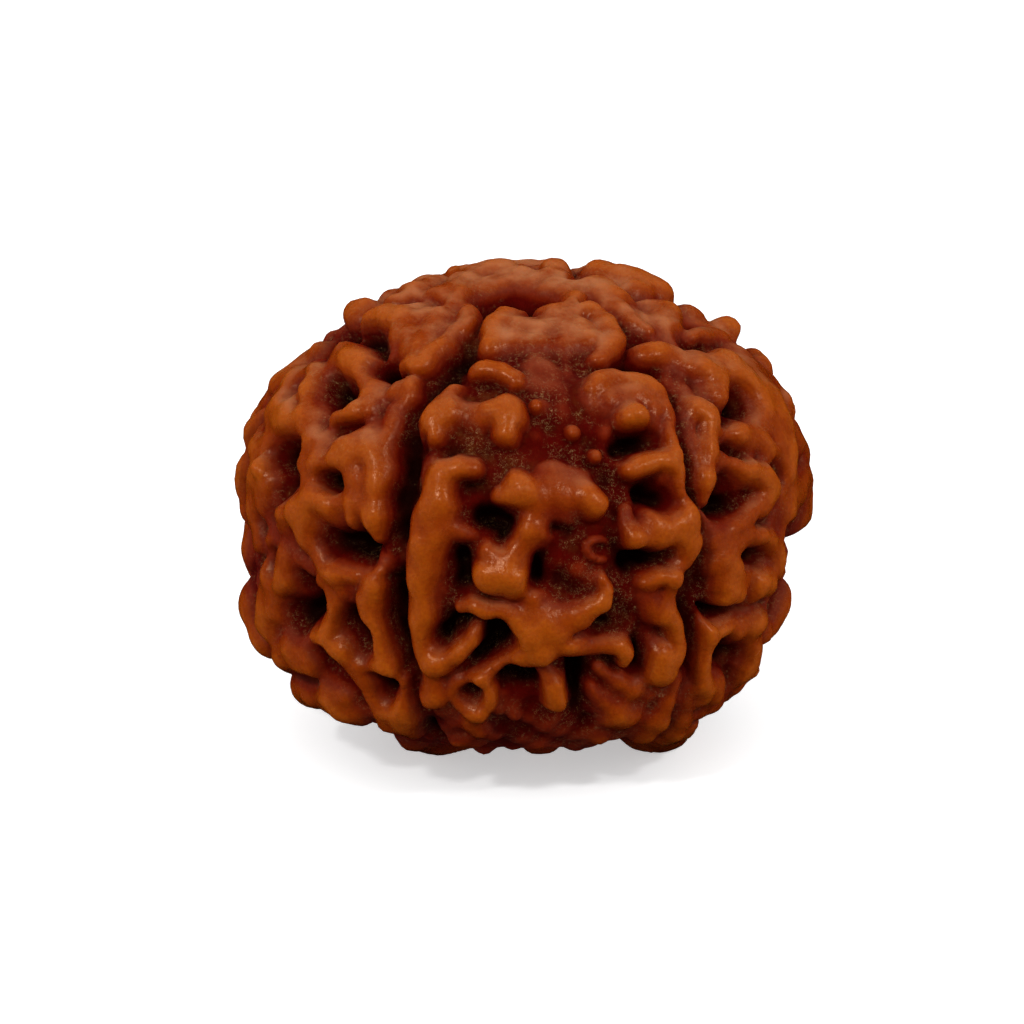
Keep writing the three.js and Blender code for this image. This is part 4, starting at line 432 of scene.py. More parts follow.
# The crown, all round its dimple
CROWN_RIDGES: Paths = {
    "front_left": [
        [-14, 59, 3.4, 1.05], [-17, 66, 3.6, 1.1], [-17, 73, 3.4, 1.1], [-4, 76.5, 3, 1.1],
    ],
    "front_plate": [[-6, 63, 6, 0.88], [8, 63, 6.5, 0.84], [22, 63, 7, 0.88], [34, 63.5, 6, 0.95]],
    "front_top": [[-4, 71, 5, 0.95], [14, 69, 5, 0.92], [30, 72, 4.4, 1.02], [46, 71, 3.6, 1.1]],
    "front_brim": [[24, 76.5, 3, 1.02], [52, 75, 3, 1.08]],
    "front_rim": [
        [53, 69, 2.8, 1.15], [50.5, 63, 3, 1.2], [45, 58, 3.2, 1.2], [38, 55, 2.8, 1.05],
        [30, 53.5, 2.4, 0.9],
    ],
    "left_edge": [
        [-50, 74, 2.6, 1.05], [-38, 69, 2.8, 1.1], [-34, 62, 2.8, 1.1], [-34, 56, 2.8, 1.1],
        [-36, 49.5, 2.6, 1.1], [-41, 49.5, 2.8, 1.05],
    ],
    "left_plate": [[-43, 54, 5.5, 0.9], [-48, 60, 6.5, 0.92], [-58, 66, 6.5, 0.95]],
    "left_shoulder": [[-60, 56, 5, 0.98], [-76, 59, 5.5, 1.02], [-94, 61, 5.5, 1.08]],
    "left": [[-66, 73, 4.5, 1], [-96, 72, 5, 1.08], [-130, 71, 5, 1.1]],
    "left_peak": [[-127, 61, 5, 1.15], [-112, 63, 5, 1.12]],
    "back": [[-150, 70, 5.4, 1.1], [-168, 69.5, 4.6, 1.32], [-176, 76, 4, 0.85]],
    "back_right": [[157, 70, 4.2, 1.25], [144, 74, 4, 1.1]],
    "right": [[134, 64, 4.5, 1.45], [122, 60, 4.5, 1.4], [114, 54, 4.5, 1.3]],
    "right_plate": [[110, 70, 5, 1.2], [92, 69, 5, 1.15], [78, 67, 4.5, 1.05]],
    "right_rib": [[72, 64.5, 2.8, 1.05], [66, 60, 2.6, 1.05], [64, 56.5, 2.4, 1]],
    "right_outer": [[104, 60, 5, 1.15], [92, 56, 5, 1.15], [80, 54, 4.5, 1.1]],
    "back_outer": [[-150, 57, 6, 1.1], [-170, 54, 6, 1.1], [168, 54, 6, 1.1], [148, 52, 6, 1.1]],
    "back_wall": [
        [-95, 77, 5, 1], [-130, 77.5, 6, 1.02], [-170, 78, 6, 1.02], [145, 78.5, 6, 1.05],
        [100, 78, 6, 1.05], [72, 77, 4.5, 1.05],
    ],
}

CROWN_MASSES: Paths = {
    "front": [[-14, 64, 7, 0.8], [10, 66, 9, 0.8], [34, 64, 9, 0.8]],
    "left": [[-50, 58, 8, 0.8], [-80, 62, 9, 0.8], [-110, 60, 10, 0.9]],
    "back": [[-150, 64, 10, 0.9], [180, 66, 10, 0.88], [150, 64, 10, 0.9]],
    "right": [[120, 60, 10, 0.9], [90, 60, 10, 0.85], [66, 56, 8, 0.7]],
    "column": [[7, 50, 5, 0.6], [9, 42, 4.5, 0.5]],
}

CROWN_PITS: Paths = {
    "dimple": [[-54, 82, 4.4, 2.2], [-10, 84.2, 5, 2.3], [42, 83.5, 4.2, 2.1]],
    "dimple_tail": [[-40, 79, 2.4, 0.6], [-31, 72, 2, 0.45]],
    "brim_notch": [[4, 75.5, 1.8, 0.25]],
    "back_notch": [[176, 67.5, 2, 0.8], [170, 73, 1.8, 0.35]],
    "right_notch": [[146, 66, 1.8, 0.4]],
    "rib_hollow": [[56, 60, 2.2, 0.4], [56, 55, 2.2, 0.6]],
    "throat": [[-10, 84.4, 3.6, 3]],
}

# Upright grooves on both sides of the front
FRONT_GROOVES: Paths = {
    "left": [
        [-27, 66, 2, 0.3], [-25, 60, 3, 0.54], [-24.5, 52, 3.6, 0.6], [-26.5, 46, 2.4, 0.54],
        [-28.7, 40, 2.2, 0.54], [-28.7, 34, 2.8, 0.57], [-27, 27, 3.2, 0.57], [-26.6, 20, 3, 0.6],
        [-26, 13, 2.4, 0.51], [-25.2, 7.5, 1.6, 0.3], [-25.3, 2, 2.6, 0.57], [-25.8, -4, 2.6, 0.6],
        [-25.8, -9, 2.8, 0.57], [-24, -14, 2.6, 0.48], [-22, -18, 1.4, 0.24],
        [-23, -23, 1.7, 0.36], [-22, -30, 2.2, 0.48], [-20, -38, 2.6, 0.48],
    ],
    "right": [
        [46, 46, 1.8, 0.18], [46.5, 41, 1.6, 0.24], [44, 36, 1.7, 0.48], [41.8, 31, 2.2, 0.54],
        [40.2, 25, 2, 0.57], [39, 19.5, 1.9, 0.54], [39.8, 15, 1.2, 0.3], [39.8, 10, 1, 0.24],
        [39.2, 6, 1.6, 0.42], [36, 1, 2.4, 0.6], [35.4, -4, 2.4, 0.6], [36.2, -9, 2, 0.51],
        [36.8, -14, 2, 0.48], [36, -20, 1.8, 0.45], [35.6, -26, 1.5, 0.33], [35, -34, 1.8, 0.36],
    ],
}

# Feet that the seed rests on, and the mounds that they run down from. The front one stops just
# short of the ground.
FEET: Paths = {
    "left": [[-40, -52, 5, 0.95], [-46, -60, 7.5, 1.35], [-50, -67, 9.3, 2]],
    "right": [[50, -42, 5.5, 1.1], [59, -50, 8, 1.55], [66, -56.5, 10.3, 2.2]],
    "back": [[176, -50, 8, 1.2], [176, -58, 11, 1.6], [176, -66, 13, 2]],
    "front": [[12, -69, 9, 1.35]],
    "left_mound": [[-50, -66, 14, 0.9]],
    "right_mound": [[66, -55.5, 15, 1.1]],
    "back_mound": [[-176, -60, 19, 1.15]],
}

# The natural channel's mouth in the base
BASE_PITS: Paths = {
    "mouth": [[0, -90, 8.5, 1.2]],
    "throat": [[0, -90, 4.2, 2.6]],
}

RIDGE_SPREAD = 1.4  # how far a ridge's foot runs out, to its half width
PIT_SPREAD = 2.1
GROOVE_SPREAD = 1.9
FOOT_SPREAD = 1.0
UNION_POWER = 4  # how sharply one stroke runs into another
FLOOR_RISE = 0.32  # height of the bare floor, which the masses rise from, in mm
WANDER = 0.006  # how far the pattern is bent, as a share of the radius

HIDDEN_GROOVES = (100, 160, -140, -88)  # meridians of the grooves between the hidden faces
GROOVE_SHARES = (0.75, 1.15)  # least and greatest share of such a groove's width and depth
HIDDEN_TOP = 46  # latitude over which no stroke is carried, because the crown has its own
HIDDEN_WANDER = 1.4  # how far a carried stroke strays, in degrees
HIDDEN_SHARES = (0.9, 1.15)  # least and greatest share of a carried stroke's width
RIB_SHARES = (0.7, 1.2)  # least and greatest share of a base rib's width

SEED = 108  # start of the random numbers
DRAW_STEP = 1664525  # multiplier of the random numbers, as in the part's source
DRAW_SHIFT = 1013904223
DRAW_RANGE = 2**32


class Seen(Enum):
    """The seen faces that a hidden face can be grown from."""

    FRONT = "front"
    LEFT = "left"


SEEN_STROKES = {
    Seen.FRONT: (FRONT_RIDGES, FRONT_MASSES, FRONT_PITS),
    Seen.LEFT: (LEFT_RIDGES, LEFT_MASSES, LEFT_PITS),
}


@dataclass(frozen=True)
class HiddenFace:
    """A face that the picture doesn't show, grown from a seen one.

    Attributes:
        middle: Longitude of its middle.
        seen: The seen face that it takes its strokes from.
        source: Longitude of that face's middle.
        turn: 1 as the seen face runs, -1 mirrored.
        stretch: Its width to the seen face's.
        flip: Its height to the seen face's, below 0 where it is upside down.
        reach: Half its width in degrees.
    """

    middle: float
    seen: Seen
    source: float
    turn: int
    stretch: float
    flip: float
    reach: float


HIDDEN_FACES = (
    HiddenFace(middle=130, seen=Seen.FRONT, source=7, turn=-1, stretch=0.88, flip=1, reach=34),
    HiddenFace(middle=190, seen=Seen.LEFT, source=-56, turn=-1, stretch=1.02, flip=1, reach=34),
    HiddenFace(middle=-122, seen=Seen.FRONT, source=7, turn=1, stretch=0.8, flip=-0.92, reach=27),
    HiddenFace(middle=92, seen=Seen.LEFT, source=-72, turn=1, stretch=0.9, flip=-0.9, reach=14),
)


@dataclass(frozen=True)
class GrooveRule:
    """How a groove between hidden faces runs down its meridian.

    Attributes:
        half_width: Half its width in degrees.
        depth: Its depth in mm.
        sway: How far it sways to each side, in degrees.
        top: Latitude that it starts at.
        bottom: Latitude that it ends at.
        step: Degrees from one of its points to the next.
    """

    half_width: float = 2.5
    depth: float = 0.9
    sway: float = 1.6
    top: int = 62
    bottom: int = -62
    step: int = 7


@dataclass(frozen=True)
class RibRule:
    """How the ribs run in under the seed.

    Attributes:
        count: How many there are.
        inner: Latitude that they end at.
        outer: Latitude that they start at.
        half_width: Half a rib's width in degrees.
        height: A rib's height in mm.
        sway: How far a rib's points stray, in degrees.
    """

    count: int = 12
    inner: float = -76
    outer: float = -50
    half_width: float = 3.6
    height: float = 0.66
    sway: float = 5


def direction(lon: np.ndarray, lat: np.ndarray) -> np.ndarray:
    """Turns longitudes and latitudes into unit vectors.

    Args:
        lon: Longitudes in degrees, 0 at the front.
        lat: Latitudes in degrees, 0 at the widest level.

    Returns:
        Unit vectors, one row for each pair.
    """
    lon, lat = np.radians(lon), np.radians(lat)
    level = np.cos(lat)
    return np.stack([np.sin(lon) * level, -np.cos(lon) * level, np.sin(lat)], -1)


class Draws:
    """Repeatable random numbers from 0 to 1."""

    def __init__(self, seed: int) -> None:
        """Starts the numbers from a seed."""
        self.state = seed

    def next(self) -> float:
        """Gives the next number."""
        self.state = (self.state * DRAW_STEP + DRAW_SHIFT) % DRAW_RANGE
        return self.state / DRAW_RANGE

    def around(self, size: float) -> float:
        """Gives a number between minus size and plus size."""
        return (self.next() * 2 - 1) * size

    def within(self, limits: tuple[float, float]) -> float:
        """Gives a number between a least and a greatest."""
        return limits[0] + (limits[1] - limits[0]) * self.next()


def ridge_profile(s: np.ndarray) -> np.ndarray:
    """Section of a ridge: its height at a share s of its half width."""
    return (1 - s**3) ** 1.5


def pit_profile(s: np.ndarray) -> np.ndarray:
    """Section of a hollow: its depth at a share s of its half width."""
    return (1 - s) ** 2 * (1 + s)


@dataclass
class StrokeSet:
    """Strokes of one kind that run into one height.

    Attributes:
        paths: Each stroke's points: longitude, latitude, half width and height.
        spread: How far a stroke's foot runs out, to its half width.
        profile: The strokes' section.
    """

    paths: list[Path]
    spread: float
    profile: Callable[[np.ndarray], np.ndarray]

    def one(self, path: np.ndarray, points: np.ndarray, d: np.ndarray) -> np.ndarray:
        """Height of one stroke.

        Args:
            path: The stroke's points as an array.
            points: The same points as unit vectors.
            d: Directions to measure in.

        Returns:
            The stroke's height in mm in each direction.
        """
        height = np.zeros(len(d))
        for i in range(max(1, len(points) - 1)):
            j = min(i + 1, len(points) - 1)
            along = points[j] - points[i]
            size = float(along @ along)
            off = d - points[i]
            t = np.clip(off @ along / size, 0, 1) if size > 0 else np.zeros(len(d))
            gap = np.linalg.norm(off - t[:, None] * along, axis=1)
            half = np.radians(path[i, 2] + t * (path[j, 2] - path[i, 2])) * self.spread
            top = path[i, 3] + t * (path[j, 3] - path[i, 3])
            share = np.minimum(gap / half, 1)
            height = np.maximum(height, top * self.profile(share))
        return height

    def height(self, d: np.ndarray) -> np.ndarray:
        """Smooth union of all the strokes.

        Args:
            d: Directions to measure in.

        Returns:
            Height in mm in each direction.
        """
        total = np.zeros(len(d))
        for rows in self.paths:
            path = np.array(rows, float)
            points = direction(path[:, 0], path[:, 1])
            centre = points.sum(0)
            centre /= np.linalg.norm(centre)
            gaps = np.linalg.norm(points - centre, axis=1)
            reach = float((gaps + np.radians(path[:, 2]) * self.spread).max())
            near = np.flatnonzero(d @ centre > 1 - reach * reach / 2)
            if len(near):
                total[near] += self.one(path, points, d[near]) ** UNION_POWER
        return total ** (1 / UNION_POWER)


@dataclass
class Growth:
    """The seed's relief: every ridge, knob, hollow and groove, on its smooth outline.

    Attributes:
        groove_rule: How the grooves between the hidden faces run.
        rib_rule: How the ribs under the seed run.
        ridges: Ridges and knobs.
        masses: Broad masses that the ridges stand on.
        pits: Hollows and slots.
        grooves: Upright grooves that part the faces.
        feet: Low feet that it rests on.
    """

    groove_rule: GrooveRule = GrooveRule()
    rib_rule: RibRule = RibRule()
    ridges: StrokeSet = field(init=False)
    masses: StrokeSet = field(init=False)
    pits: StrokeSet = field(init=False)
    grooves: StrokeSet = field(init=False)
    feet: StrokeSet = field(init=False)

    def __post_init__(self) -> None:
        """Collects the strokes, the seen faces first."""
        draws = Draws(SEED)
        ridges = self.of(FRONT_RIDGES, LEFT_RIDGES, RIGHT_RIDGES, CROWN_RIDGES)
        masses = self.of(FRONT_MASSES, LEFT_MASSES, RIGHT_MASSES, CROWN_MASSES)
        pits = self.of(FRONT_PITS, LEFT_PITS, RIGHT_PITS, CROWN_PITS, BASE_PITS)
        grooves = self.of(FRONT_GROOVES)
        for face in HIDDEN_FACES:
            for strokes, seen in zip((ridges, masses, pits), SEEN_STROKES[face.seen]):
                strokes.extend(self.carry(face, seen, draws))
        grooves += [self.hidden_groove(lon, draws) for lon in HIDDEN_GROOVES]
        ridges += self.base_ribs(draws)
        self.ridges = StrokeSet(ridges, RIDGE_SPREAD, ridge_profile)
        self.masses = StrokeSet(masses, RIDGE_SPREAD, ridge_profile)
        self.pits = StrokeSet(pits, PIT_SPREAD, pit_profile)
        self.grooves = StrokeSet(grooves, GROOVE_SPREAD, pit_profile)
        self.feet = StrokeSet(self.of(FEET), FOOT_SPREAD, ridge_profile)

    @staticmethod
    def of(*groups: Paths) -> list[Path]:
        """Lists the paths of some groups of strokes."""
        return [path for group in groups for path in group.values()]

    @staticmethod
    def carry(face: HiddenFace, strokes: Paths, draws: Draws) -> list[Path]:
        """Copies a seen face's strokes onto a hidden one, each strayed a little.

        Args:
            face: The hidden face.
            strokes: The seen face's strokes.
            draws: Random numbers for the straying.

        Returns:
            The strokes that lie inside the hidden face.
        """
        carried = []
        for path in strokes.values():
            stray_lon = draws.around(HIDDEN_WANDER)
            stray_lat = draws.around(HIDDEN_WANDER)
            share = draws.within(HIDDEN_SHARES)
            across = face.turn * face.stretch
            moved = [
                [
                    face.middle + (lon - face.source) * across + stray_lon,
                    lat * face.flip + stray_lat,
                    half * share,
                    height,
                ]
                for lon, lat, half, height in path
            ]
            if all(abs(p[0] - face.middle) < face.reach and p[1] < HIDDEN_TOP for p in moved):
                carried.append(moved)
        return carried

    def hidden_groove(self, lon: float, draws: Draws) -> Path:
        """Lays a groove down a meridian, swaying.

        Args:
            lon: The meridian in degrees.
            draws: Random numbers for the sway.

        Returns:
            The groove's path.
        """
        rule = self.groove_rule
        path = []
        for lat in range(rule.top, rule.bottom - 1, -rule.step):
            side = lon + draws.around(rule.sway)
            half = rule.half_width * draws.within(GROOVE_SHARES)
            path.append([side, lat, half, rule.depth * draws.within(GROOVE_SHARES)])
        return path

    def base_ribs(self, draws: Draws) -> list[Path]:
        """Lays the ribs that run in under the seed.

        Args:
            draws: Random numbers for their sway and width.

        Returns:
            One path a rib.
        """
        rule = self.rib_rule
        paths = []
        for i in range(rule.count):
            lon = (i + 0.5) * (360 / rule.count) + draws.around(rule.sway)
            bend = draws.around(rule.sway)
            middle = (rule.inner + rule.outer) / 2 + draws.around(rule.sway)
            outer, centre, inner = (rule.half_width * draws.within(RIB_SHARES) for _ in range(3))
            paths.append([
                [lon, rule.outer, outer, rule.height],
                [lon + bend, middle, centre, rule.height],
                [lon, rule.inner, inner, rule.height],
            ])
        return paths

    @staticmethod
    def envelope(d: np.ndarray) -> np.ndarray:
        """Distance from the middle to the smooth outline that the ridge tops touch.

        Args:
            d: Directions.

        Returns:
            The distance in mm in each direction.
        """
        power = np.where(d[:, 2] > 0, SHOULDER_POWER, HAUNCH_POWER)
        across = np.hypot(d[:, 0], d[:, 1]) / (WIDTH / 2)
        up = np.abs(d[:, 2]) / (HEIGHT / 2)
        radius = (across**power + up**power) ** (-1 / power)
        for lon, lat, spread, share in SWELLS:
            angle = np.degrees(np.arccos(np.clip(d @ direction(lon, lat), -1, 1)))
            radius = radius * (1 + share * np.exp(-((angle / spread) ** 2)))
        return radius

    @staticmethod
    def wander(d: np.ndarray) -> np.ndarray:
        """Bends the pattern a little, so that no ridge runs straight.

        Args:
            d: Directions.

        Returns:
            The bent directions.
        """
        x, y, z = d.T
        bent = np.stack([
            x + WANDER * np.sin(31 * y + 23 * z + 0.7) * np.sin(27 * x + 1.9),
            y + WANDER * np.sin(29 * z + 25 * x + 2.3) * np.sin(24 * y + 0.4),
            z + WANDER * np.sin(33 * x + 21 * y + 4.1) * np.sin(28 * z + 3.2),
        ], -1)
        return bent / np.linalg.norm(bent, axis=1)[:, None]

    @staticmethod
    def unevenness(d: np.ndarray) -> np.ndarray:
        """Low uneven swell of the ridges and the floor.

        Args:
            d: Directions.

        Returns:
            The swell in mm in each direction.
        """
        x, y, z = d.T
        return (0.08 * np.sin(19 * x + 11 * y + 1.3) * np.sin(17 * y - 13 * z + 0.6)
                + 0.06 * np.sin(43 * z + 29 * x) * np.sin(37 * y - 31 * x + 2.2))

    @staticmethod
    def floor_lumps(d: np.ndarray) -> np.ndarray:
        """Lumps of the floor between the ridges.

        Args:
            d: Directions.

        Returns:
            The lumps' height in mm in each direction.
        """
        x, y, z = d.T
        return (0.16 * np.sin(26 * x + 15 * z) * np.sin(24 * y - 17 * z + 1.1)
                + 0.1 * np.sin(47 * z - 21 * x + 0.4) * np.sin(41 * x + 35 * y + 2.7))

    def skin(self, d: np.ndarray) -> tuple[np.ndarray, np.ndarray]:
        """Points of the skin.

        Args:
            d: Directions from the seed's middle.

        Returns:
            The points in mm, and how far each rises over the floor between the ridges.
        """
        bent = self.wander(d)
        ridge = self.ridges.height(bent)
        broad = np.cbrt(FLOOR_RISE**3 + self.masses.height(bent)**3)
        mass = np.maximum(0, broad + self.floor_lumps(d))
        foot = self.feet.height(bent)
        standing = ridge**UNION_POWER + mass**UNION_POWER + foot**UNION_POWER
        dug = np.maximum(self.pits.height(bent), self.grooves.height(bent))
        rise = standing ** (1 / UNION_POWER) + self.unevenness(d) - dug
        radius = self.envelope(d) - RELIEF + rise
        down = np.minimum(d[:, 2], -1e-6)  # never 0, because the ground's distance divides by it
        radius = np.where(BELLY_HEIGHT + radius * down < 0, BELLY_HEIGHT / -down, radius)
        points = d * radius[:, None]
        points[:, 2] += BELLY_HEIGHT
        return points, rise


@dataclass(frozen=True)
class Value:
    """A number or colour that a node gives, to be reckoned with like a plain number.

    Attributes:
        graph: The nodes that it belongs to.
        socket: The output that gives it.
    """

    graph: "Graph"
    socket: bpy.types.NodeSocket

    def __add__(self, other: "Value | float") -> "Value":
        """Adds another value."""
        return self.graph.maths("ADD", self, other)

    def __sub__(self, other: "Value | float") -> "Value":
        """Takes another value away."""
        return self.graph.maths("SUBTRACT", self, other)

    def __mul__(self, other: "Value | float") -> "Value":
        """Multiplies by another value."""
        return self.graph.maths("MULTIPLY", self, other)

    def __abs__(self) -> "Value":
        """Leaves out the sign."""
        return self.graph.maths("ABSOLUTE", self)

    def larger(self, other: "Value") -> "Value":
        """Gives the larger of two values."""
        return self.graph.maths("MAXIMUM", self, other)

    def span(self, low: float, high: float) -> "Value":
        """Maps the value smoothly onto 0 to 1.

        Args:
            low: Where it gives 0, which may be the larger of the two.
            high: Where it gives 1.

        Returns:
            The mapped value.
        """
        return self.graph.value(
            "MapRange", "Result",
            interpolation_type="SMOOTHSTEP", value=self, from_min=low, from_max=high,
        )


class Cloud(Enum):
    """Cloudy patterns of the skin: waves to the metre, detail and roughness."""

    BROAD = (170.0, 2.0, 0.5)
    DUST = (420.0, 5.0, 0.7)
    PATCHES = (620.0, 4.0, 0.6)
    LINT = (700.0, 5.0, 0.7)
    GRAIN = (2600.0, 4.0, 0.65)
    FINE = (6500.0, 3.0, 0.6)


class Blend(Enum):
    """Ways to blend two colours."""

    MIX = "MIX"
    MULTIPLY = "MULTIPLY"


@dataclass(frozen=True)
class Graph:
    """The nodes of a material or of the room's light.

    Attributes:
        tree: The node tree that they go into.
    """

    tree: bpy.types.NodeTree

    def plug(self, socket: bpy.types.NodeSocket, value: object) -> None:
        """Joins a value to an input, or sets a plain one on it.

        Args:
            socket: The input.
            value: A value of these nodes, a number, or a tuple of three.
        """
        if isinstance(value, Value):
            self.tree.links.new(value.socket, socket)
        elif isinstance(value, tuple):
            socket.default_value = (*value, 1.0)[:len(socket.default_value)]
        else:
            socket.default_value = value

    def node(self, kind: str, **settings: object) -> bpy.types.Node:
        """Adds a node.

        Args:
            kind: Its type, without the word ShaderNode.
            **settings: Properties of the node, and inputs by their names in lower case.

        Returns:
            The node.
        """
        made = self.tree.nodes.new("ShaderNode" + kind)
        for name, value in settings.items():
            inputs = [
                s for s in made.inputs if s.enabled and s.name.lower().replace(" ", "_") == name
            ]
            if inputs:
                self.plug(inputs[0], value)
            else:
                setattr(made, name, value)
        return made

    def value(self, kind: str, output: str, **settings: object) -> Value:
        """Adds a node for what it gives.

        Args:
            kind: Its type, without the word ShaderNode.
            output: Name of the output that is wanted.
            **settings: Properties and inputs of the node.

        Returns:
            The value at that output.
        """
        made = self.node(kind, **settings)
        return Value(self, next(s for s in made.outputs if s.enabled and s.name == output))

    def maths(self, kind: str, *values: Value | float) -> Value:
        """Adds a sum of one or two values.

        Args:
            kind: The sum, such as MULTIPLY.
            *values: Values of these nodes, or plain numbers.

        Returns:
            The sum.
        """
        made = self.node("Math", operation=kind)
        for socket, value in zip(made.inputs, values):
            self.plug(socket, value)
        return Value(self, made.outputs[0])

    def blend(self, share: Value | float, first: Value | Colour, second: Value | Colour,
              way: Blend = Blend.MIX) -> Value:
        """Blends two colours.

        Args:
            share: How much of the second colour.
            first: First colour.
            second: Second colour.
            way: How they blend.

        Returns:
            The blended colour.
        """
        return self.value(
            "Mix", "Result", data_type="RGBA", blend_type=way.value, factor=share, a=first, b=second
        )

    def cloud(self, place: Value, pattern: Cloud) -> Value:
        """Adds a cloudy pattern.

        Args:
            place: Where the pattern is read.
            pattern: The pattern.

        Returns:
            The pattern's value, from 0 to 1.
        """
        scale, detail, roughness = pattern.value
        return self.value(
            "TexNoise", "Fac", vector=place, scale=scale, detail=detail, roughness=roughness
        )


class Readings:
    """What the seed's material reads off the skin.

    Attributes:
        graph: The material's nodes.
        place: Place on the skin in metres.
        rise: Rise over the floor between the ridges, in mm.
        hollow: How deep it lies under what is round it, in mm.
        up: How far it faces up, from -1 to 1.
        height: Height over the ground in metres.
        patches: Patches of a millimetre or two.
        grain: Grain of a few tenths of a millimetre.
        fine: Grain of a tenth of a millimetre or two.
        clouds: Patches that dust lies in.
        open_floor: 1 on the floor and the ridges, 0 in the pits.
    """

    def __init__(self, graph: Graph) -> None:
        """Adds the nodes that read the skin.

        Args:
            graph: The material's nodes.
        """
        self.graph = graph
        self.place = graph.value("TexCoord", "Object")
        self.rise = graph.value("Attribute", "Fac", attribute_name="rise")
        self.hollow = graph.value("Attribute", "Fac", attribute_name="hollow")
        self.up = graph.value("SeparateXYZ", "Z", vector=graph.value("NewGeometry", "Normal"))
        self.height = graph.value("SeparateXYZ", "Z", vector=self.place)
        self.patches = graph.cloud(self.place, Cloud.PATCHES)
        self.grain = graph.cloud(self.place, Cloud.GRAIN)
        self.fine = graph.cloud(self.place, Cloud.FINE)
        self.clouds = graph.cloud(self.place, Cloud.DUST).span(0.46, 0.66)
        self.open_floor = self.rise.span(-0.05, 0.28)


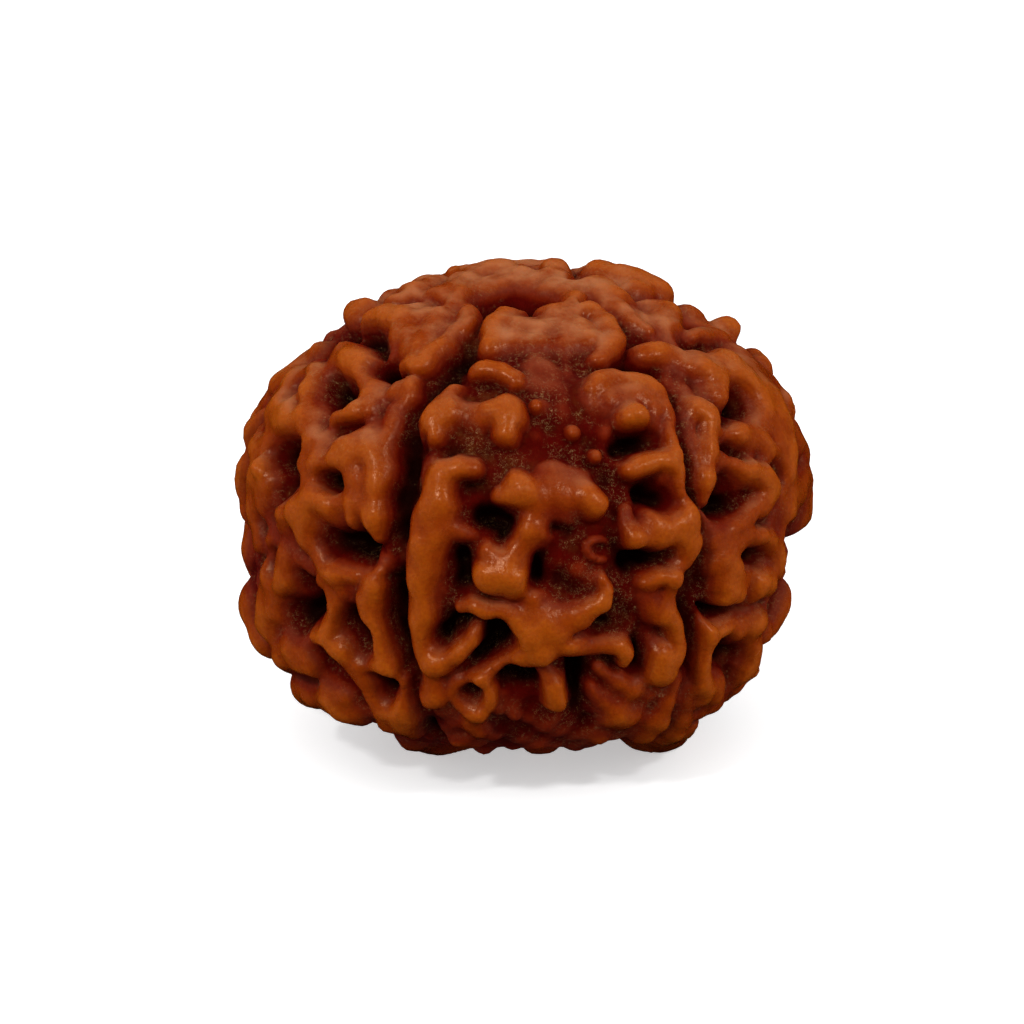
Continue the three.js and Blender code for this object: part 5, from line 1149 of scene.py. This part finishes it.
@dataclass(frozen=True)
class Endocarp:
    """Waxy brown wood of the seed: orange on the ridges, maroon in the hollows, dusty, with painted
    shade in the hollows and pits and on the feet, and painted sheen on what faces up.

    Attributes:
        pit_shade: Colour at the bottom of the deepest holes, all painted shade.
        floor: Colour of the floor between the ridges, partly its own maroon and partly painted
            shade.
        flank: Colour half way up a ridge.
        top: Colour of the ridge tops.
        bright: Colour of the brightest patches.
        bloom_sheen_colour: Pale colour on what faces up: partly a bloom of dust, partly painted
            sheen of the overhead light.
        dust: Colour of the dust in the hollows.
        speck: Colour of the palest grains and threads of dust.
        stops: Where pit_shade, floor, flank, top and bright stand on the way from hole to crest.
        tints: Darkest and palest tint of the broad patches.
        mottles: Darkest and palest tint of the fine mottle.
        dust_share: How much of the skin's colour the dust hides.
        speck_share: How much of it the grains and threads hide.
        low_shade_share: How much of it the painted shade on the feet hides.
        low_shade_top: Height in metres that the painted shade ends at.
        low_shade_full: Height in metres under which it is thickest.
        grain_size: Grains of dust to the metre.
        thread_waves: Waves to the metre of each set of threads.
        polish: Roughness of the ridge tops.
        floor_matt: What the floor between the ridges adds to that.
        dust_matt: What dust adds to it.
        bloom_sheen_matt: Share of that which the bloom and its painted sheen add.
        least_gloss: Gloss of the floor and the pits.
        crest_gloss: What the ridge tops add to that.
        bump_height: Height of the fine relief in metres.
        bump_share: How strongly it shows.
        glow_share: How much of the light goes in under the skin.
        glow_depth: How deep that light goes, in metres.
        glow_reach: How far its red, green and blue go, to that depth.
        shine_tint: Colour of the gloss.
    """

    pit_shade: Colour = (0.007, 0.0001, 0.0001)
    floor: Colour = (0.068, 0.0006, 0.0002)
    flank: Colour = (0.158, 0.0095, 0.0003)
    top: Colour = (0.245, 0.032, 0.0005)
    bright: Colour = (0.33, 0.06, 0.002)
    bloom_sheen_colour: Colour = (0.42, 0.145, 0.052)
    dust: Colour = (0.15, 0.047, 0.01)
    speck: Colour = (0.42, 0.25, 0.1)
    stops: tuple[float, ...] = (0.0, 0.46, 0.73, 0.93, 1.0)
    tints: tuple[Colour, Colour] = ((0.82, 0.66, 0.55), (1.12, 1.2, 1.25))
    mottles: tuple[Colour, Colour] = ((0.92, 0.88, 0.85), (1.07, 1.1, 1.12))
    dust_share: float = 0.35
    speck_share: float = 0.45
    low_shade_share: float = 0.75
    low_shade_top: float = 0.0024
    low_shade_full: float = 0.0004
    grain_size: float = 13500.0
    thread_waves: tuple[float, ...] = (4400.0, 6800.0)
    polish: float = 0.25
    floor_matt: float = 0.55
    dust_matt: float = 0.45
    bloom_sheen_matt: float = 0.8
    least_gloss: float = 0.04
    crest_gloss: float = 0.38
    bump_height: float = 0.00022
    bump_share: float = 0.55
    glow_share: float = 0.15
    glow_depth: float = 0.0009
    glow_reach: Colour = (1.0, 0.25, 0.06)
    shine_tint: Colour = (1.0, 0.62, 0.38)

    def build(self) -> bpy.types.Material:
        """Makes the material.

        Returns:
            The finished material.
        """
        made = bpy.data.materials.new("endocarp")
        made.use_nodes = True
        made.node_tree.nodes.clear()
        g = Graph(made.node_tree)
        skin = Readings(g)
        # Painted sheen, mixed with a bloom of dust: up-facing crests are paled.
        bloom_and_sheen = self.bloom_and_sheen(skin)
        settled = self.settled_dust(skin)
        grains = self.lint(skin)
        # Painted shade: towards the ground the skin is darkened to the floor's maroon.
        low_shade = skin.height.span(self.low_shade_top, self.low_shade_full)

        colour = g.blend(bloom_and_sheen, self.wood_and_hollow_shade(skin), self.bloom_sheen_colour)
        colour = g.blend(settled * self.dust_share, colour, self.dust)
        colour = g.blend(grains * self.speck_share, colour, self.speck)
        colour = g.blend(low_shade * self.low_shade_share, colour, self.floor)
        shader = g.value(
            "BsdfPrincipled", "BSDF",
            base_color=colour,
            roughness=self.roughness(skin, settled.larger(bloom_and_sheen * self.bloom_sheen_matt)),
            normal=self.bump(skin, grains),
            specular_ior_level=self.gloss(skin),
            specular_tint=self.shine_tint,
            subsurface_method="RANDOM_WALK",
            subsurface_weight=self.glow_share,
            subsurface_radius=self.glow_reach,
            subsurface_scale=self.glow_depth,
        )
        g.node("OutputMaterial", surface=shader)
        return made

    def wood_and_hollow_shade(self, skin: Readings) -> Value:
        """Colours the clean skin by how high it rises, broken up by patches and mottle; its dark
        end is painted shade in the hollows and pits, over the seed's own maroon.

        Args:
            skin: What is read off the skin.

        Returns:
            The clean skin's colour.
        """
        g = skin.graph
        # Painted shade: the level drops with depth under the surroundings, so hollows and pits
        # darken towards near black.
        level = skin.rise + (skin.patches - 0.5) * 0.5 - skin.hollow * 0.5
        ramp = g.node("ValToRGB", fac=level.span(-0.7, 1.5))
        ramp.color_ramp.interpolation = "EASE"
        colours = (self.pit_shade, self.floor, self.flank, self.top, self.bright)
        elements = ramp.color_ramp.elements
        while len(elements) < len(colours):
            elements.new(0.5)
        for element, position, colour in zip(elements, self.stops, colours):
            element.position = position
            element.color = (*colour, 1.0)
        tint = g.blend(g.cloud(skin.place, Cloud.BROAD), *self.tints)
        mottle = g.blend(skin.fine.span(0.35, 0.65), *self.mottles)
        colour = g.blend(1.0, Value(g, ramp.outputs["Color"]), tint, Blend.MULTIPLY)
        return g.blend(1.0, colour, mottle, Blend.MULTIPLY)

    @staticmethod
    def bloom_and_sheen(skin: Readings) -> Value:
        """Finds where the ridge tops face up and get a pale bloom: partly dust, partly painted
        sheen of the overhead light.

        Args:
            skin: What is read off the skin.

        Returns:
            The share of the bloom and painted sheen, from 0 to 1.
        """
        facing_up = skin.up.span(0.6, 1.0) * skin.patches.span(0.3, 0.7)
        crest = skin.rise.span(0.45, 1.1)
        broad_top = skin.hollow.span(-0.4, -0.1) * 0.55 + 0.2
        return facing_up * crest * broad_top

    @staticmethod
    def settled_dust(skin: Readings) -> Value:
        """Finds where dust has settled in the shallow hollows.

        Args:
            skin: What is read off the skin.

        Returns:
            The dust's share, from 0 to 1.
        """
        sheltered = skin.clouds * skin.hollow.span(0.0, 0.35) * skin.open_floor
        return sheltered * skin.up.span(-0.5, 0.25) * skin.grain.span(0.3, 0.62)

    def lint(self, skin: Readings) -> Value:
        """Scatters pale grains on the floor, and very short threads there and on what faces up.

        Args:
            skin: What is read off the skin.

        Returns:
            The share of the grains and threads, from 0 to 1.
        """
        g = skin.graph
        scatter = g.cloud(skin.place, Cloud.LINT).span(0.43, 0.58)
        cells = g.value("TexVoronoi", "Distance", vector=skin.place, scale=self.grain_size)
        found = cells.span(0.3, 0.14) * skin.fine.span(0.46, 0.54)
        found = found * (scatter * skin.open_floor) * skin.hollow.span(-0.2, 0.15)
        low = skin.rise.span(1.0, 0.6) * skin.hollow.span(-0.25, 0.1) * skin.open_floor
        lying = skin.up.span(0.25, 0.7) * (skin.clouds * 0.6 + 0.4)
        where = scatter * low.larger(lying)
        for waves in self.thread_waves:
            wave = g.value(
                "TexNoise", "Fac", vector=skin.place, scale=waves, detail=1.5, distortion=1.2
            )
            thread = abs(wave - 0.5).span(0.016, 0.004) * where
            found = found.larger(thread * skin.fine.span(0.42, 0.56))
        return found

    def roughness(self, skin: Readings, matt: Value) -> Value:
        """Works out the roughness: waxy tops, matt floor, dust and bloom.

        Args:
            skin: What is read off the skin.
            matt: Share of dust and bloom.

        Returns:
            The roughness.
        """
        waxy = (skin.grain - 0.5) * 0.25 + self.polish
        return waxy + matt * self.dust_matt + skin.rise.span(0.95, 0.3) * self.floor_matt

    def gloss(self, skin: Readings) -> Value:
        """Gives the ridge tops more gloss than the floor."""
        return skin.rise.span(0.4, 0.95) * self.crest_gloss + self.least_gloss

    def bump(self, skin: Readings, grains: Value) -> Value:
        """Raises the fine relief: wrinkles, grain, and the dust that lies on it.

        Args:
            skin: What is read off the skin.
            grains: Share of the grains and threads of dust.

        Returns:
            The skin's normal.
        """
        relief = skin.patches * 0.7 + skin.grain * 0.22 + (grains + skin.fine) * 0.12
        return skin.graph.value(
            "Bump", "Normal", strength=self.bump_share, distance=self.bump_height, height=relief
        )


@dataclass(frozen=True)
class PaleFloor:
    """Plain white floor.

    Attributes:
        colour: Its colour.
        roughness: Its roughness.
        gloss: Its gloss.
        glow: How strongly the lit table under it shines through.
    """

    colour: Colour = (0.9, 0.9, 0.9)
    roughness: float = 0.6
    gloss: float = 0.2
    glow: float = 0.45

    def build(self) -> bpy.types.Material:
        """Makes the material.

        Returns:
            The finished material.
        """
        made = bpy.data.materials.new("pale_floor")
        made.use_nodes = True
        skin = made.node_tree.nodes["Principled BSDF"]
        skin.inputs["Base Color"].default_value = (*self.colour, 1.0)
        skin.inputs["Roughness"].default_value = self.roughness
        skin.inputs["Specular IOR Level"].default_value = self.gloss
        skin.inputs["Emission Color"].default_value = (1.0, 1.0, 1.0, 1.0)
        skin.inputs["Emission Strength"].default_value = self.glow
        made.cycles.emission_sampling = "NONE"
        return made


@dataclass
class Seed:
    """The seed's fine skin.

    Attributes:
        detail: How often the starting ball is divided.
        steep: Rise across a triangle, in mm, over which it is divided once more.
        most: Most triangles of the finished skin.
        smoothing: How far each point is drawn to the middle of those round it.
        swell: How far the ridge tops are pushed out along the skin, in mm.
        rounds: Over how many triangles a hollow is measured.
        growth: The relief that the skin follows.
    """

    detail: int = 7
    steep: float = 0.1
    most: int = 185000
    smoothing: float = 0.35
    swell: float = 0.06
    rounds: int = 60
    growth: Growth = field(default_factory=Growth)

    def build(self) -> bpy.types.Object:
        """Grows the skin.

        Returns:
            The seed's object, at the origin, with its place in its mesh.
        """
        bm = bmesh.new()
        bmesh.ops.create_icosphere(bm, subdivisions=self.detail, radius=1.0)
        self.divide_steep(bm)
        points, rise = self.growth.skin(self.directions(bm))
        for vert, point in zip(bm.verts, points):
            vert.co = point
        bmesh.ops.smooth_vert(
            bm, verts=bm.verts, factor=self.smoothing,
            use_axis_x=True, use_axis_y=True, use_axis_z=True,
        )
        bm.normal_update()
        for vert, high in zip(bm.verts, rise):
            vert.co += vert.normal * self.swell * max(0.0, min(1.0, float(high)))
            vert.co.z = max(0.0, vert.co.z)
        bmesh.ops.scale(bm, vec=(MM, MM, MM), verts=bm.verts)
        bmesh.ops.translate(bm, vec=(AXIS[0] * MM, AXIS[1] * MM, 0.0), verts=bm.verts)
        mesh = bpy.data.meshes.new("seed_skin")
        bm.to_mesh(mesh)
        bm.free()
        mesh.polygons.foreach_set("use_smooth", [True] * len(mesh.polygons))
        self.mark(mesh, rise)
        made = bpy.data.objects.new("seed_skin", mesh)
        bpy.context.collection.objects.link(made)
        return made

    def divide_steep(self, bm: bmesh.types.BMesh) -> None:
        """Divides the triangles that lie on steep slopes once more.

        Args:
            bm: The starting ball, changed in place.
        """
        bm.verts.ensure_lookup_table()
        rise = self.growth.skin(self.directions(bm))[1]
        corners = np.array([[v.index for v in f.verts] for f in bm.faces])
        drop = np.ptp(rise[corners], axis=1)
        room = (self.most - len(bm.faces)) // 4
        order = np.argsort(-drop, kind="stable")[:room]
        chosen = order[drop[order] > self.steep]
        bm.faces.ensure_lookup_table()
        edges = {edge for index in chosen for edge in bm.faces[index].edges}
        edges = sorted(edges, key=lambda e: e.index)
        bmesh.ops.subdivide_edges(bm, edges=edges, cuts=1, use_grid_fill=True)
        bmesh.ops.triangulate(bm, faces=bm.faces)
        bm.verts.index_update()

    @staticmethod
    def directions(bm: bmesh.types.BMesh) -> np.ndarray:
        """Gives each vertex's direction from the ball's middle."""
        co = np.array([v.co[:] for v in bm.verts])
        return co / np.linalg.norm(co, axis=1)[:, None]

    def mark(self, mesh: bpy.types.Mesh, rise: np.ndarray) -> None:
        """Keeps each vertex's rise, and how deep it lies under what is round it.

        Args:
            mesh: The skin.
            rise: Rise of each vertex over the floor, in mm.
        """
        edges = np.empty(len(mesh.edges) * 2, int)
        mesh.edges.foreach_get("vertices", edges)
        a, b = edges.reshape(-1, 2).T
        count = np.bincount(np.concatenate([a, b]), minlength=len(rise))
        mean = rise.copy()
        for _ in range(self.rounds):
            total = np.bincount(a, weights=mean[b], minlength=len(rise))
            total += np.bincount(b, weights=mean[a], minlength=len(rise))
            mean = 0.5 * mean + 0.5 * total / count
        for name, values in (("rise", rise), ("hollow", mean - rise)):
            layer = mesh.attributes.new(name, "FLOAT", "POINT")
            layer.data.foreach_set("value", values.astype(np.float32))

    @staticmethod
    def dress(made: bpy.types.Object, finish: Endocarp) -> None:
        """Gives the skin its material and its place in the part.

        Args:
            made: The seed's object.
            finish: The seed's finish.
        """
        made.data.materials.append(finish.build())
        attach(made, BODY)
        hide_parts(NODE)


@dataclass(frozen=True)
class Lamp:
    """A soft square lamp that looks at the seed.

    Attributes:
        name: Its name.
        place: Where it hangs, in metres.
        side: Side of its face in metres.
        power: Its power in watts.
        target: The point that it looks at, in metres.
    """

    name: str
    place: Place
    side: float
    power: float
    target: Place = (0.0, 0.0, 0.009)

    def build(self) -> None:
        """Hangs the lamp."""
        data = bpy.data.lights.new(self.name, "AREA")
        data.energy = self.power
        data.size = self.side
        made = bpy.data.objects.new(self.name, data)
        made.location = self.place
        made.rotation_mode = "QUATERNION"
        aim = Vector(self.target) - Vector(self.place)
        made.rotation_quaternion = aim.to_track_quat("-Z", "Y")
        bpy.context.collection.objects.link(made)


@dataclass(frozen=True)
class Room:
    """A bright room round the seed, brighter overhead and at both sides.

    Attributes:
        dark: Strength of its light from below and in front.
        overhead: What is added overhead.
        sides: What is added at the left and the right.
    """

    dark: float = 0.26
    overhead: float = 0.8
    sides: float = 0.9

    def build(self) -> None:
        """Lights the room."""
        world = bpy.data.worlds.new("room")
        bpy.context.scene.world = world
        world.use_nodes = True
        world.cycles_visibility.glossy = False
        g = Graph(world.node_tree)
        way = g.value("TexCoord", "Generated")
        across = abs(g.value("SeparateXYZ", "X", vector=way)).span(0.55, 1.0)
        upward = g.value("SeparateXYZ", "Z", vector=way).span(-0.3, 0.9)
        sky = world.node_tree.nodes["Background"]
        sky.inputs["Color"].default_value = (1.0, 1.0, 1.0, 1.0)
        g.plug(sky.inputs["Strength"], upward * self.overhead + self.dark + across * self.sides)


@dataclass
class Studio:
    """Floor, light and camera of the picture.

    Attributes:
        elevation: Camera's height over the horizon in degrees.
        distance: Camera's distance from the point that it looks at, in mm.
        lens: Focal length in mm.
        aim_height: Height of that point in mm.
        shift: Where that point lies from the picture's middle, in pixels right and up.
        near: Nearest that the camera sees, in metres.
        far: Furthest that the camera sees, in metres.
        floor_side: Side of the floor in metres.
        lamps: The lamps in front of the seed.
    """

    elevation: float = 21.0
    distance: float = 190.0
    lens: float = 172.5
    aim_height: float = 9.0
    shift: tuple[float, float] = (9.5, 6.0)
    near: float = 0.01
    far: float = 10.0
    floor_side: float = 3.0
    lamps: tuple[Lamp, ...] = (
        Lamp("left_lamp", place=(-0.15, -0.24, 0.26), side=0.035, power=0.39),
        Lamp("right_lamp", place=(0.2, -0.18, 0.24), side=0.03, power=0.22),
    )

    def build(self) -> None:
        """Sets up floor, lights and camera."""
        self.lay_floor()
        Room().build()
        for lamp in self.lamps:
            lamp.build()
        bpy.context.scene.view_settings.view_transform = "Standard"
        bpy.context.scene.view_settings.look = "None"
        self.aim()

    def lay_floor(self) -> None:
        """Lays the floor, which neither colours the seed nor shows in its gloss."""
        bm = bmesh.new()
        bmesh.ops.create_grid(bm, x_segments=1, y_segments=1, size=self.floor_side / 2)
        mesh = bpy.data.meshes.new("floor")
        bm.to_mesh(mesh)
        bm.free()
        floor = bpy.data.objects.new("floor", mesh)
        bpy.context.collection.objects.link(floor)
        mesh.materials.append(PaleFloor().build())
        floor.visible_glossy = False
        floor.visible_diffuse = False

    def aim(self) -> None:
        """Points the camera as the picture was taken."""
        tilt = math.radians(self.elevation)
        back = Vector((0.0, -math.cos(tilt), math.sin(tilt)))
        target = Vector((AXIS[0], AXIS[1], self.aim_height))
        place = (target + back * self.distance) * MM
        right = Vector((1.0, 0.0, 0.0))
        up = back.cross(right)
        data = bpy.data.cameras.new("camera")
        data.lens = self.lens
        data.sensor_width = SENSOR
        data.shift_x = -self.shift[0] / IMAGE
        data.shift_y = -self.shift[1] / IMAGE
        data.clip_start = self.near
        data.clip_end = self.far
        camera = bpy.data.objects.new("camera", data)
        rows = zip(right, up, back, place)
        camera.matrix_world = Matrix((*(tuple(row) for row in rows), (0.0, 0.0, 0.0, 1.0)))
        bpy.context.collection.objects.link(camera)
        bpy.context.scene.camera = camera


def main() -> None:
    """Builds the studio and the seed."""
    logging.basicConfig(level=logging.INFO, format="%(name)s: %(message)s")
    Studio().build()
    LOG.info("studio: floor, lamps and camera")
    seed = Seed()
    skin = seed.build()
    seed.dress(skin, Endocarp())
    LOG.info("%s: %d triangles", skin.name, len(skin.data.polygons))


if __name__ == "__main__":
    main()
